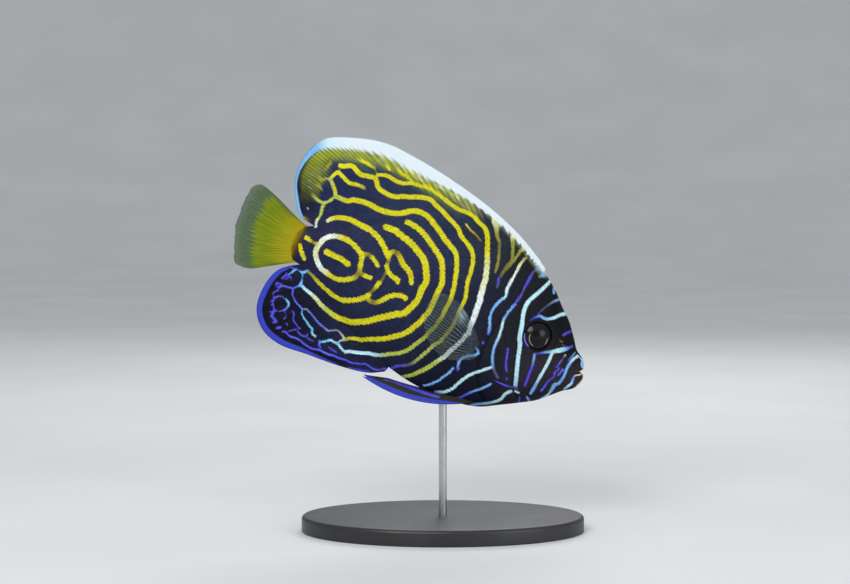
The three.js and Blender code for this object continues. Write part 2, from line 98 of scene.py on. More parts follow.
PECTORAL_EDGE = [
    (8.6, 3.4), (2.2, 4.1), (-0.1, 1.2), (0, -4), (2.6, -9.2), (7.4, -12.8), (12.4, -13.6),
    (16.2, -12.2),
]
PELVIC_FIN = {"rays": 6, "per_ray": 10, "rows": 80, "half": (0.42, 0.14), "ridge": 0.12}
PELVIC_ROOT = [(26.4, -22.4), (21.2, -23.3)]
PELVIC_EDGE = [(-9.1, -30.1), (-6, -29.2), (-1.5, -27.8)]

# The unwrap, in shares of the map: the right side fills its lower half and the left side its upper half
BAKE_EDGE = 0.01
BAKE_WIDTH = 0.98
BAKE_HEIGHT = 0.47
BAKE_LEFT = 0.5

STAND_CENTRE = 10.4
BASE = {"length": 88, "width": 60, "height": 5, "rim": 1.1, "lower_rim": 0.4}
ROD_RADIUS = 1.25

EYE = (34.7, 4.4)
PUPIL = (34.9, 3.7)
EYE_RADIUS = 4.5
NOSTRILS = [(41.9, 6.1, 0.42), (43.1, 5.2, 0.36)]
GILL_EDGE = [
    (26.6, 13), (25.2, 10.6), (23.6, 7), (21.9, 1), (21.4, -6), (22.6, -13), (26.3, -19), (31.5, -22.6),
]
CHEEK_EDGE = [
    (28.4, 8.4), (29.2, 3), (30.8, -1.4), (32.2, -6), (33.6, -10), (35.2, -13.6), (38.4, -15.6),
    (42.5, -14.6),
]
MOUTH_LINE = [(49.4, -1.9), (50.4, -1.35), (51.4, -0.8), (52.6, -0.1), (54, 0.7)]
UPPER_LIP_FOLD = [(49.8, -1.2), (49, 0.6), (48.9, 3)]
LOWER_LIP_FOLD = [(50, -1.6), (48.6, -3.4), (47.4, -6.2)]
CHEEK_SPINE = [(36.6, -12.9), (34.2, -13.5), (31.4, -13.8), (28.1, -13.7)]

# Colours as seen, in sRGB, under the letters that stand for them in the lines
TINTS = {
    # Yellow, orange yellow, greenish yellow, olive and its darker and fainter kinds
    "Y": (214, 210, 32), "o": (212, 194, 18), "G": (178, 196, 84), "O": (150, 152, 62),
    "d": (112, 106, 48), "T": (120, 118, 58), "p": (120, 136, 120),
    # Cream, warm white, cool white and the white and pale blues of the back fin's edge
    "P": (222, 226, 170), "w": (238, 238, 220), "W": (230, 246, 248), "M": (216, 228, 236),
    "N": (198, 228, 238), "S": (118, 176, 226),
    # Light blues and grey blues
    "C": (192, 238, 252), "A": (112, 204, 250), "B": (122, 184, 248), "L": (136, 150, 190),
    "K": (84, 86, 128),
    # Violet blues, from bright to dark
    "b": (96, 116, 244), "V": (84, 82, 230), "R": (52, 66, 182), "v": (60, 58, 128),
}

# Views of the photo, enlarged, in which the finest lines were placed: the corner, in pixels of
# the 850 by 584 photo, and how many times it is enlarged
VIEWS = {
    "soft back fin": ((292, 143), 19.6),
    "top of the back fin": ((360, 140), 15.68),
    "snout": ((520, 300), 15.675),
    "anal fin": ((250, 260), 10.47),
}
PHOTO_PIXEL = 0.31
PHOTO_MIDDLE = (430, 300)


def turned(forward, up):
    """Level distances forward and up as distances along the fish and up its back."""
    cos, sin = math.cos(HEAD_DOWN), math.sin(HEAD_DOWN)
    return forward * cos - up * sin, forward * sin + up * cos


def placed(view, lines):
    """Lines as they were placed in an enlarged view, moved onto the fish."""
    (left, top), enlarged = VIEWS[view]
    moved = []
    for tints, widths, places in lines:
        across, down = np.transpose(places) / enlarged
        forward = (left + across - PHOTO_MIDDLE[0]) * PHOTO_PIXEL
        up = (PHOTO_MIDDLE[1] - top - down) * PHOTO_PIXEL
        x, z = turned(forward, up)
        moved.append((tints, widths, list(zip(x, z))))
    return moved


# Each line: its colours and its widths, evenly along it, and the places it passes through
LINES = [
    # Tail root
    ("Y", (1.8,), [(-35.2, 0.1), (-33, 0), (-30, 0), (-27.6, -0.4)]),
    ("PWYYYYdYYYWPP", (1.6,), [
        (-38.4, 0), (-37.4, 3.7), (-35, 5.6), (-31.9, 6.2), (-29.5, 6), (-26.9, 5), (-24.8, 3.7),
        (-24.05, 1.3), (-23.5, -1), (-23.8, -2.95), (-25.2, -4.4), (-27.1, -5.6), (-29.5, -6.2),
        (-32.1, -5.8), (-34.8, -5.1), (-36.9, -3.4), (-38.2, -1.5), (-38.4, 0)]),
    ("YdYY", (1.2, 0.9, 1.5), [(-38.8, 1.2), (-40.2, 1), (-41.4, 1.2), (-42.6, 1.6)]),
    ("oYY", (1.3,), [(-43.5, -1.5), (-42.3, -3), (-40.6, -4.8)]),
    ("YdYYY", (1.3,), [(-25, 4.3), (-23, 4.9), (-21.5, 4.5), (-20.3, 3.9), (-19.1, 3)]),
    ("YdYY", (1.2, 1.4), [(-23.2, -1.2), (-22.3, -1.4), (-21.5, -1.5), (-19.6, -1.3)]),
    # Second ring, with its beads
    ("PYYYYYYYY", (1.3, 1.7, 1.7, 1.7), [
        (-39, 9), (-38.2, 10), (-37, 10.9), (-35.5, 11.6), (-33.5, 12.1), (-31, 12.2), (-28.5, 12.1),
        (-26, 11.95), (-24, 11.4), (-22, 10.6), (-20.5, 9.6), (-19.2, 8.6), (-18, 7.5), (-17.3, 7)]),
    ("YdY", (1.3, 1, 1.3), [(-17.3, 7), (-16.8, 6), (-16.6, 5), (-16.5, 4)]),
    ("Y", (1.5,), [(-16.5, 4), (-15.8, 3), (-14.5, 2.3), (-13, 1.8), (-11.8, 1.8), (-11.4, 1.2)]),
    ("dddY", (0.9,), [(-16.2, 3), (-15.9, 1), (-16.2, -0.5), (-16.4, -1.5)]),
    ("Y", (1.4,), [(-16.4, -1.5), (-16.8, -3)]),
    ("YddY", (1,), [(-16.8, -3), (-17.4, -5), (-17.8, -6.3)]),
    ("YYYYYYYOO", (1.6, 1.6, 1.3, 0.9), [
        (-17.8, -6.3), (-18.6, -7.5), (-20, -8.9), (-22, -10.2), (-24, -11.2), (-25.5, -11.4),
        (-28, -11.2), (-30.5, -10.6), (-33, -9.8), (-35, -9), (-36.8, -8.3), (-38, -7.8)]),
    ("YdoYoY", (1.4, 1.7, 1.7, 1.5), [
        (-17.2, 8.2), (-16.5, 8.9), (-15.5, 9.1), (-14.3, 8.5), (-13, 7.4), (-11.5, 6.4), (-10, 5.8),
        (-9, 5.1), (-8.3, 4.2), (-7.5, 2.7)]),
    ("YdYYYY", (1.4, 1.6), [
        (-17.8, -7.2), (-16.8, -7.9), (-15.5, -7.8), (-14.3, -7), (-13.2, -5.8), (-12.4, -4.6),
        (-11.3, -3.5), (-9.8, -2.6), (-8.5, -2.2), (-7.2, -2.4)]),
    # Third ring, running out over the anal fin
    ("YYYYYYYYYYYYYGPCA", (2, 2, 2, 2, 2, 1.8, 1.3, 0.8), [
        (-21.8, 14.9), (-19, 15.1), (-16.7, 14.5), (-14.3, 14.05), (-11.9, 13.3), (-9.8, 12.3),
        (-7.7, 11.2), (-6, 9.6), (-4.7, 7.55), (-3.8, 5.8), (-3.45, 4), (-3.8, 2.9), (-3.8, 1.8),
        (-3.55, -0.45), (-4, -2.9), (-4.7, -4.9), (-5.55, -6.7), (-7.55, -8), (-9.8, -9.8),
        (-12, -11.5), (-15, -14.1), (-17.4, -15.5), (-18.7, -16.3), (-20.7, -16.75), (-23.7, -17),
        (-25, -16.9), (-28, -16.2), (-30, -15.6), (-32, -14.6), (-34, -13.9), (-36, -13.4),
        (-37.4, -13), (-38.2, -12.7)]),
    # Fourth ring
    ("YYYYYYYYYYYYYYYYO", (1.7, 1.7, 1.7, 1.6, 1.7, 1.7, 1.5, 1), [
        (-16.5, 18.9), (-14.3, 18.9), (-11.7, 18.3), (-9.5, 17.5), (-7.4, 16.3), (-5.3, 15.1),
        (-3.7, 14.1), (-2.1, 12.9), (-0.9, 11.1), (0, 9.1), (0.9, 7.1), (1.2, 5.3), (1.1, 4.2),
        (1.1, 3), (1.1, 1.8), (1.2, 0), (1.2, -1.8), (1.1, -3.1), (0.7, -4.4), (0.3, -6), (-0.2, -7.55),
        (-0.9, -8.9), (-1.6, -10.5), (-2.4, -11.7), (-3.7, -13.3), (-5.4, -14.7), (-7.6, -16.5),
        (-9.8, -17.8), (-12, -18.9), (-14.1, -20.2), (-16.3, -20.8), (-17.6, -21.4), (-18.7, -22.4)]),
    # Fifth ring
    ("GYYYYYYYYYYYYOOGGGCCC", (1.4, 1.7, 1.7, 1.7, 1.5, 1.4, 1.3, 1.3, 1.2, 1), [
        (-39.8, 16.9), (-37.7, 16.9), (-36, 17.1), (-34.6, 18.1), (-32.2, 18.7), (-29.8, 19),
        (-26.2, 18.8), (-22.6, 19.3), (-20.2, 20.2), (-18.6, 21.2), (-17.1, 22.4), (-15.5, 23.2),
        (-13.1, 23.45), (-10.7, 22.9), (-8.3, 21.7), (-6, 20.5), (-3.6, 19), (-1.2, 17.9), (0.7, 16.9),
        (1.9, 15.4), (2.8, 13.6), (3.6, 11.5), (4.2, 9.3), (4.9, 7.1), (5.2, 5.3), (5.55, 3.55),
        (5.55, 1.55), (5.3, -0.45), (5.4, -2.4), (5.1, -4.2), (4.8, -6.2), (4, -8.2), (3.4, -10.4),
        (2.6, -12.2), (1.7, -13.9), (0.9, -15.6), (-0.2, -17.2), (-2, -18.9), (-4.1, -20.2),
        (-5.9, -21.5), (-7.6, -22.4), (-9.8, -23), (-12, -23.8), (-14.1, -24.6), (-15.9, -25.1),
        (-17, -25.65)]),
    # Sixth ring
    ("YYYYYYYYYYYYYYOOGGKVV", (1.5, 1.5, 1.5, 1.5, 1.4, 1.3, 1.2, 1.2, 1, 0.9), [
        (-42.7, 26), (-41.7, 26.2), (-40.3, 27.1), (-38.9, 27.4), (-37.4, 26.7), (-35.8, 26.2),
        (-33.4, 26.7), (-31.2, 27), (-30.3, 26.2), (-29.1, 24.8), (-27, 24.3), (-24.6, 24.2),
        (-22.9, 24.6), (-21.2, 25.5), (-18.8, 26.4), (-16.7, 27.4), (-14.3, 28.1), (-12.6, 28.2),
        (-10.7, 27.4), (-8.3, 26.7), (-6, 25.7), (-3.6, 24.8), (-1.2, 23.6), (0.5, 22.1), (2.6, 21),
        (5, 19.6), (6.2, 18.1), (7.1, 15.9), (7.5, 13.8), (7.9, 11.5), (8.2, 9.3), (9, 7.1), (9.5, 4.9),
        (9.4, 2.7), (9.55, 0.4), (9.7, -1.3), (9.55, -2.9), (9.3, -5.1), (8.8, -7.3), (8.3, -9.3),
        (7.6, -10.7), (6.7, -12), (6, -13.9), (5.1, -16), (4.4, -17.6), (3.5, -19.5), (2.3, -20.9),
        (1, -21.8), (-0.6, -22.8), (-1.5, -23.9), (-2.2, -25), (-3.9, -25.4)]),
    ("KVVVVV", (0.6,), [
        (-3.9, -25.4), (-5.4, -26.5), (-7, -26.85), (-8.5, -26.6), (-9.8, -26.4), (-11.1, -27.2),
        (-12.2, -27.4), (-13.7, -28), (-15.9, -27.9)]),
    # Band in front of the rings, yellow above and white below
    ("YYYYYYYYYYYPPWWWW", (1.1, 1.3, 1.2, 1.2, 1.3, 1.3, 1.5, 1.6, 1.8, 1.9, 1.7, 1.4), [
        (-31, 28.3), (-29.8, 28.8), (-28.1, 29.3), (-25, 29), (-22.6, 29.3), (-20.2, 30.5),
        (-17.9, 30.7), (-15.5, 31.3), (-13.1, 31.1), (-10.7, 30.6), (-8.3, 30), (-6, 29.5),
        (-3.6, 29.2), (-1.2, 29.4), (1.2, 29.2), (3.6, 28.2), (6, 27.4), (7.4, 26), (8.4, 24.2),
        (9.3, 22), (10.3, 19.8), (11.3, 17.3), (12.1, 15), (12.6, 13.2), (13, 10.5), (13.4, 8.2),
        (13.9, 6), (14.1, 3.55), (14.3, 0.9), (14.4, -0.7), (14.6, -2.4), (15, -4)]),
    ("WWWGGG", (1.3, 1.4, 1.4, 1.4, 1.1), [
        (14.5, -4.4), (14.2, -6), (13.5, -7.9), (12.8, -9.7), (11.9, -11.8), (11.4, -13.4),
        (10.7, -14.6), (9.8, -16), (8.8, -17.9), (7.4, -20), (6, -21.8), (4.7, -23.4), (2.6, -25.1)]),
    ("Yd", (0.6,), [(0.3, 26), (2.2, 25), (4.3, 24.4), (6.6, 23.2)]),
    # Net on the soft back fin
    *placed("soft back fin", [
        ("CPGGGG", (0.8, 0.9, 1, 1.1), [
            (471, 1645), (490, 1528), (560, 1420), (580, 1372), (602, 1260), (640, 1175)]),
        ("GGOT", (1.0, 1.1, 0.8), [(640, 1172), (560, 1150), (485, 1098), (430, 1045), (402, 1010)]),
        ("GGG", (0.9,), [(640, 1172), (740, 1138), (800, 1088), (850, 1058)]),
        ("GYGO", (1.3, 1.2, 1.1), [(862, 1040), (850, 930), (820, 850), (780, 762), (752, 712)]),
        ("GYYYYYYO", (1.1, 1.2, 1.3, 1.2, 1.1), [
            (752, 712), (800, 660), (850, 610), (910, 572), (960, 620), (1020, 682), (1080, 742),
            (1150, 790), (1260, 812), (1350, 842), (1425, 888)]),
        ("GOO", (0.8, 0.9), [(752, 712), (690, 702), (622, 712), (592, 742)]),
        ("OOT", (1.0, 0.8), [(592, 742), (546, 684), (506, 630)]),
        ("TOOT", (0.6, 0.9, 0.6), [(440, 800), (510, 832), (566, 880), (604, 935)]),
        ("TOOT", (0.7, 1.0, 0.8), [(760, 330), (768, 392), (722, 442), (668, 512), (610, 540)]),
        ("T", (0.4,), [(944, 480), (936, 520), (914, 560)]),
        ("p", (0.5, 0.3), [(556, 570), (566, 520)]),
        ("p", (0.3,), [(380, 590), (430, 630)]),
        ("p", (0.4,), [(340, 738), (382, 752)]),
        ("p", (0.3,), [(340, 860), (400, 890)]),
        ("L", (0.6,), [(312, 1272), (324, 1296)]),
    ]),
    *placed("top of the back fin", [
        ("OYYO", (0.8, 1.1, 1.0), [(-60, 290), (20, 330), (100, 360), (160, 400), (232, 442)]),
        ("T", (0.4,), [(240, 462), (268, 520), (296, 552)]),
        ("POYY", (0.5, 0.9, 1.0, 0.7), [(316, 300), (366, 366), (428, 430), (472, 486)]),
        ("OYYYGG", (0.7, 0.9, 0.9, 0.6), [
            (546, 424), (620, 490), (702, 552), (770, 602), (832, 652), (852, 684)]),
        ("PPYPG", (0.4, 0.6, 0.7, 0.4), [(700, 400), (800, 490), (870, 552), (942, 612), (1006, 676)]),
        ("POGPGGP", (0.6, 0.9, 0.7, 0.6), [
            (1070, 618), (1150, 680), (1222, 722), (1322, 774), (1422, 832), (1540, 902)]),
    ]),
    # Olive lines under the front of the back fin
    ("POTOT", (2.2, 1.2, 0.9, 0.9, 0.8), [
        (8, 30.6), (9.25, 29), (10.3, 27.1), (12, 25.2), (13, 22.8), (13.8, 20.5), (14.4, 17.3),
        (14.5, 16.5)]),
    ("POOTd", (1.8, 1.1, 0.9, 0.8), [
        (15.2, 28.6), (15.5, 27.5), (16.3, 25.9), (17.2, 23.6), (17.6, 21.7), (16.8, 19.4),
        (16.5, 16.3)]),
    ("POOTd", (1.6, 1, 0.9, 0.8), [
        (20, 26.9), (19.2, 26.1), (18.6, 23.6), (18, 21.1), (17, 18.2), (16.6, 16.1)]),
    ("VK", (0.8,), [(16.3, 15.3), (16.9, 12.6)]),
    # Head lines behind the gill cover
    ("OPWCBBBV", (0.9,), [
        (21.5, 24.6), (20.9, 23.2), (20.5, 21.1), (20.3, 18.2), (20, 15.3), (19.9, 13.3), (20.4, 11.2),
        (19.6, 9.5), (18.8, 7.4), (18.5, 5), (18.9, 2.9), (19.8, 1), (20.3, -0.9), (20.4, -1.5)]),
    ("V", (0.7,), [(20.2, -4.4), (20.1, -4.7)]),
    ("vBBBBV", (0.8, 0.9), [
        (18.4, -6.7), (19.8, -7.6), (20.1, -8.2), (19.3, -9.3), (17.7, -10.3), (16.5, -11.6), (16, -13),
        (16.3, -14.4), (16.7, -15.5)]),
    ("CK", (0.9,), [(26.5, 24.5), (25.7, 22)]),
    ("BBT", (1,), [(29.3, 23.2), (28.2, 21.6), (27.6, 21)]),
    ("B", (0.9,), [(33.2, 19.7), (33.8, 18.2)]),
    ("KVKVBBCCBBKK", (0.8, 0.8, 0.9), [
        (25.1, 21.5), (24.9, 18.6), (24.7, 15.7), (24.5, 13), (24.1, 10.7), (23.6, 8.9), (23, 6.65),
        (22.8, 4.5), (23.3, 2), (23.7, -0.9), (23.7, -3.6), (24.4, -6.9), (25.6, -9.3), (27.2, -11.2),
        (28.9, -12.5)]),
    ("CCCCCCCB", (1.1, 1.3, 1.3, 1.2), [
        (31.3, 21.1), (30.3, 18.8), (29.3, 16.6), (28.3, 14.6), (27.5, 12.8), (27.3, 10.7), (27.5, 8.8),
        (28.6, 5.3), (29.4, 2), (30.8, -0.9), (32.1, -5), (33.5, -8.8), (34.8, -12.3), (35.1, -13.3)]),
    ("C", (0.8,), [(35.7, -14.2), (36.8, -14.2)]),
    ("V", (0.7,), [(27.8, -3.1), (28.6, -5.5), (29.4, -7.9), (30.5, -9.6)]),
    ("V", (0.7,), [(31.5, -11.5), (31.6, -11.8)]),
    # Forehead and snout
    ("CCCBBVv", (1.2, 1, 0.8, 0.5), [
        (39.8, 13.9), (38.3, 12.9), (37, 11.5), (35.4, 10.4), (34, 10), (32.6, 10.2), (31.3, 9.1),
        (30.2, 7.6)]),
    ("V", (0.8,), [(41.8, 7.7), (42.6, 8.8), (44, 9.9)]),
    ("VVBCCBVv", (0.7, 0.9, 1.5, 1.5, 0.9, 0.7, 0.5), [
        (45.9, 5.8), (45, 4.8), (43.2, 3.4), (41, 1.9), (38.3, 0.4), (35.9, -1.2)]),
    ("BBVVV", (0.8,), [(36, -1.2), (36.4, -2.5), (37, -5), (37.2, -7.7), (37.6, -11.4)]),
    ("CCCBB", (1,), [(40.9, 1), (41, -2), (40.8, -5), (40.6, -7.9), (40.5, -10.6), (40.35, -12.8)]),
    *placed("snout", [
        ("CCBBBBBBCB", (0.9, 0.9, 0.9, 0.9, 1.2, 0.9, 0.8), [
            (905, 876), (852, 904), (792, 962), (745, 1032), (712, 1110), (690, 1172), (650, 1236),
            (602, 1296), (536, 1322), (504, 1382), (470, 1442), (424, 1500), (345, 1542)]),
        ("BbK", (0.5, 0.5, 0.3), [(862, 822), (806, 874), (764, 920), (742, 955)]),
        ("bBCBBBP", (0.4, 0.4, 0.6, 1.4, 1.5, 0.7), [
            (905, 872), (942, 900), (976, 945), (982, 985), (985, 1020), (992, 1062)]),
        ("NKKbVV", (0.5, 0.6, 0.5), [(700, 850), (676, 885), (640, 935), (590, 1005), (556, 1040)]),
        ("bVb", (0.5, 0.6), [(604, 1050), (586, 1082), (546, 1104), (528, 1140)]),
        ("bVb", (0.8, 0.6), [(664, 1078), (630, 1122), (590, 1162)]),
        ("VVVb", (0.4, 0.6, 0.7), [
            (532, 1130), (534, 1176), (480, 1222), (430, 1262), (376, 1350), (330, 1412)]),
        ("bBCB", (0.7, 0.9, 0.8), [(842, 1190), (820, 1250), (800, 1306), (748, 1348), (700, 1392)]),
    ]),
    ("PwwPP", (0.4, 0.4, 0.5, 0.5, 0.4), [
        (50.4, -2.2), (51.5, -1.4), (52.9, -0.6), (53.3, -1.5), (53.4, -2.5), (53.1, -3.8),
        (52.6, -4.8)]),
    *placed("snout", [
        ("BLKKv", (0.9, 0.6, 0.5), [
            (600, -6), (540, 10), (462, 48), (390, 96), (322, 150), (262, 196)]),
    ]),
    ("BB", (0.7,), [(39.9, -14.4), (41.3, -15.5)]),
    ("V", (0.6,), [(37.8, -15.4), (38.6, -17.4)]),
    # Chest and belly
    ("CCCCCCB", (0.9, 1, 1), [
        (25.6, -10.4), (24.4, -11.6), (23, -13), (21.6, -14.4), (20.5, -15.8), (19.5, -17.6),
        (18.6, -19.7), (17.9, -21.6), (16.7, -23.2), (15.1, -24.4), (13.7, -25.1)]),
    ("BBVV", (0.8,), [
        (27.7, -15.3), (26.3, -17.2), (24.9, -18.8), (23.5, -20.2), (22.3, -21.8), (21.2, -23.4),
        (20, -24.1)]),
    ("CCCBB", (1.1, 1, 0.8), [
        (34.4, -14.8), (33.3, -16.2), (32.8, -18.3), (31.4, -20), (29.3, -21.6), (26.7, -23.2),
        (25.1, -24.4)]),
    ("B", (0.8,), [
        (15.2, -15.8), (14.7, -17.6), (13.7, -19.5), (13, -21.1), (11.9, -22.5), (10.7, -23.9),
        (9.5, -24.8)]),
    # Net on the anal fin
    *placed("anal fin", [
        ("A", (0.9, 0.9, 0.5, 0.3), [(596, 116), (572, 128), (553, 140), (550, 175)]),
        ("AV", (0.9, 0.4), [(555, 134), (532, 122), (512, 112)]),
        ("VA", (0.3, 0.4, 0.9, 1.1), [(550, 175), (546, 205), (540, 235), (534, 262)]),
        ("AbbV", (0.9, 0.6, 0.5), [(534, 266), (502, 276), (470, 292), (450, 300)]),
        ("VVAV", (0.4, 0.5, 0.7, 0.5), [
            (330, 192), (366, 168), (404, 152), (444, 128), (480, 100), (505, 104)]),
        ("Vb", (0.5,), [(422, 68), (450, 84), (478, 98)]),
        ("V", (0.5,), [(384, 132), (372, 158), (352, 176), (344, 198)]),
        ("bV", (0.5, 0.4), [(404, 152), (424, 176), (434, 208)]),
        ("VV", (0.5,), [(404, 152), (400, 188), (372, 196)]),
        ("VVbb", (0.7, 0.5, 0.6), [
            (282, 236), (300, 244), (322, 252), (348, 268), (400, 286), (450, 300)]),
        ("bVbbL", (0.5, 0.5, 0.6), [
            (450, 300), (446, 350), (460, 405), (480, 440), (520, 482), (552, 512), (590, 516)]),
        ("LbbbL", (0.5, 0.6, 0.6), [
            (590, 516), (632, 552), (680, 612), (724, 664), (772, 704), (820, 744)]),
        ("LLP", (0.6, 0.5, 0.8), [
            (820, 744), (870, 738), (918, 740), (950, 768), (982, 812), (992, 840)]),
        ("bAAAAC", (0.4, 0.6, 0.7, 0.6), [
            (552, 512), (545, 552), (560, 600), (590, 642), (622, 690), (652, 724), (652, 770),
            (686, 802)]),
        ("V", (0.5,), [(282, 238), (268, 264), (296, 282), (330, 264)]),
        ("bVVVVb", (0.5,), [
            (348, 268), (306, 288), (294, 322), (262, 328), (242, 352), (242, 380), (262, 394),
            (292, 378)]),
        ("VbbAAbb", (0.5, 0.5, 0.7, 0.6), [
            (292, 378), (332, 380), (366, 405), (404, 448), (396, 494), (352, 526)]),
        ("bVVVb", (0.5,), [
            (352, 526), (300, 536), (262, 522), (246, 490), (240, 440), (256, 402), (292, 378)]),
        ("VbV", (0.5,), [(352, 526), (366, 560), (376, 592), (350, 622)]),
        ("V", (0.6,), [(384, 656), (392, 682)]),
        ("V", (0.5,), [(244, 424), (214, 432)]),
        ("V", (0.5,), [(246, 474), (212, 474)]),
        ("V", (0.7, 0.5), [(262, 522), (232, 544), (206, 540)]),
        ("V", (0.8, 0.9, 0.7), [(250, 535), (232, 575), (246, 610), (276, 645), (240, 655)]),
        ("V", (0.5,), [(232, 590), (212, 592)]),
        ("V", (0.8, 0.9), [(280, 712), (318, 706)]),
        ("V", (0.5, 0.6, 0.5), [
            (446, 540), (466, 566), (450, 600), (460, 640), (480, 668), (502, 704), (530, 716)]),
        ("VVbV", (0.5, 0.6), [(402, 746), (440, 736), (488, 730), (514, 770), (540, 792), (586, 800)]),
        ("V", (0.5,), [(586, 800), (606, 774)]),
        ("V", (0.5, 0.6, 0.4), [(586, 800), (622, 832), (668, 858)]),
        ("VAACACA", (0.5, 0.7, 0.8, 0.7, 0.8, 0.6), [
            (716, 842), (742, 858), (800, 850), (842, 840), (882, 860), (922, 882), (960, 930),
            (1000, 968)]),
        ("AC", (0.5,), [(922, 882), (942, 850), (984, 836)]),
        ("bV", (0.7, 0.6), [(728, 856), (722, 892), (738, 916)]),
        ("VVV", (0.5, 0.6, 0.4), [(820, 910), (862, 942), (912, 970)]),
        ("VVbVVVbVV", (0.6, 0.7, 0.7), [
            (336, 752), (362, 746), (390, 780), (420, 800), (470, 815), (520, 840), (560, 875),
            (602, 905), (652, 930), (722, 942), (762, 962), (822, 990), (882, 1005), (932, 1030),
            (1000, 1045)]),
    ]),
]

# Coloured edges of the fins: drawn along the outline, so that half of each width lies on the fin
EDGES = [
    ("SSSSSSSNMMMMMMMMMMM", (
        1.6, 2, 2.2, 2, 1.9, 3.4, 4.8, 6.4, 7.4, 7.2, 7.6, 8.6, 6.6, 4.4, 3.8, 3.6, 3.6, 3.2, 2.2), [
        (-45.5, 5), (-48.3, 7.2), (-51.4, 11.3), (-53.4, 15), (-54.2, 19), (-54.1, 24), (-52.7, 28.6),
        (-49.6, 32), (-44, 35), (-38, 36.9), (-31, 38.2), (-22, 38), (-12, 36.9), (-2, 35.2), (8, 32.8),
        (16, 30.2), (22, 27.4), (26, 25.3), (29, 23.4)]),
    ("RRRRRRRRRR", (2, 3, 3.6, 3.5, 3.7, 3.8, 3.1, 2.4, 1.6, 0.8), [
        (-44.2, -8.6), (-46.9, -11.8), (-48.5, -18), (-47.6, -25.2), (-43.5, -30.1), (-37, -32.2),
        (-30, -31.7), (-27, -31.4), (-22, -31), (-17.4, -30.5)]),
    ("R", (1.2,), [(-14.1, -30.1), (-12, -29.6), (-9.8, -29), (-7.6, -28.5)]),
]
PELVIC_LINES = [
    ("RRRRR", (1.6, 2.4, 2.6, 2.2, 1.4), [
        (25.5, -24.6), (20.9, -26.2), (14, -28.5), (5.8, -30.2), (0, -30.4), (-3.3, -30.3),
        (-9.1, -30.3)]),
    ("VRV", (0.8,), [(15, -26), (12.1, -26.5), (7, -27), (3.5, -27.2), (0, -27.4), (-2.8, -27.9)]),
]

# Ground between the lines: middle of each zone, how far it reaches, and its colour as seen, in sRGB
ZONES = {
    "flank": ((-12, 2), 22, (40, 47, 80)),
    "tail root": ((-36, 0), 9, (36, 42, 80)),
    "belly": ((-10, -19), 9, (26, 29, 52)),
    "breast": ((14, -20), 11, (20, 23, 40)),
    "shoulder": ((18, 5), 8, (30, 34, 46)),
    "gill cover": ((27, -2), 6, (34, 34, 40)),
    "cheek": ((40, -5), 8, (52, 45, 56)),
    "mask": ((32, 9), 7, (20, 22, 25)),
    "snout": ((44, 7), 6, (19, 19, 21)),
    "nape": ((25, 19), 8, (28, 31, 38)),
    "chin": ((43, -13), 5, (28, 31, 48)),
    # The back's ground is partly its own navy and partly painted sheen, so it is lighter
    "back": ((-16, 24), 13, (48, 60, 90)),
    "front of the back": ((9, 24), 8, (44, 52, 62)),
    "soft back fin": ((-38, 20), 8, (36, 46, 88)),
    "rear of the back fin": ((-49, 12), 4, (14, 16, 28)),
    "anal fin": ((-38, -22), 11, (12, 14, 32)),
}
def to_stand(x, y, z):
    """Places along the fish, in millimetres, as places over the stand, in metres."""
    cos, sin = math.cos(HEAD_DOWN), math.sin(HEAD_DOWN)
    x, y, z = np.broadcast_arrays(x, y, z)
    return np.stack([FISH_FORWARD + x * cos + z * sin, y, FISH_HEIGHT - x * sin + z * cos], -1) * MM


def side_view(places):
    """Places over the stand, in metres, as x and z along the fish, in millimetres."""
    return turned(places[..., 0] / MM - FISH_FORWARD, places[..., 2] / MM - FISH_HEIGHT)


def smooth(value, low, high):
    """0 below low, 1 above high, and an even S between them."""
    share = np.clip((value - low) / (high - low), 0, 1)
    return share * share * (3 - 2 * share)


def hump(value, middle, width):
    """1 at the middle, falling off in a bell on both sides."""
    return np.exp(-(((value - middle) / width) ** 2))


def spot(x, z, middle, reach):
    """1 at the middle, falling off in a bell along the fish and up it."""
    return np.exp(-(((x - middle[0]) / reach[0]) ** 2) - ((z - middle[1]) / reach[1]) ** 2)


def rounded(share, over=1.0):
    """0 at no share, then up to 1 over the first part, as a round edge rises."""
    return np.sqrt(np.clip(share / over, 0, 1))


def both_ends(u):
    """The distance from the nearer end of a way from 0 to 1."""
    return np.minimum(u, 1 - u)


def unit(vectors):
    """Vectors made 1 long."""
    return vectors / np.linalg.norm(vectors, axis=-1, keepdims=True).clip(1e-9)


def linear(rgb):
    """sRGB numbers up to 255 as linear ones up to 1."""
    part = np.asarray(rgb, float) / 255
    return np.where(part <= 0.04045, part / 12.92, ((part + 0.055) / 1.055) ** 2.4)


def through(points, shares):
    """Places at shares of the way along a smooth curve through the points."""
    p = np.asarray(points, float)
    p = np.vstack([2 * p[0] - p[1], p, 2 * p[-1] - p[-2]])
    steps = np.clip(np.asarray(shares, float), 0, 1) * (len(p) - 3)
    index = np.minimum(steps.astype(int), len(p) - 4)
    part = (steps - index)[..., None]
    p0, p1, p2, p3 = (p[index + k] for k in range(4))
    gaps = [np.sqrt(np.linalg.norm(b - a, axis=-1, keepdims=True)).clip(1e-4)
            for a, b in ((p0, p1), (p1, p2), (p2, p3))]
    leave = ((p1 - p0) / gaps[0] - (p2 - p0) / (gaps[0] + gaps[1]) + (p2 - p1) / gaps[1]) * gaps[1]
    reach = ((p2 - p1) / gaps[1] - (p3 - p1) / (gaps[1] + gaps[2]) + (p3 - p2) / gaps[2]) * gaps[1]
    return (p1 + leave * part + (3 * (p2 - p1) - 2 * leave - reach) * part**2
            + (2 * (p1 - p2) + leave + reach) * part**3)


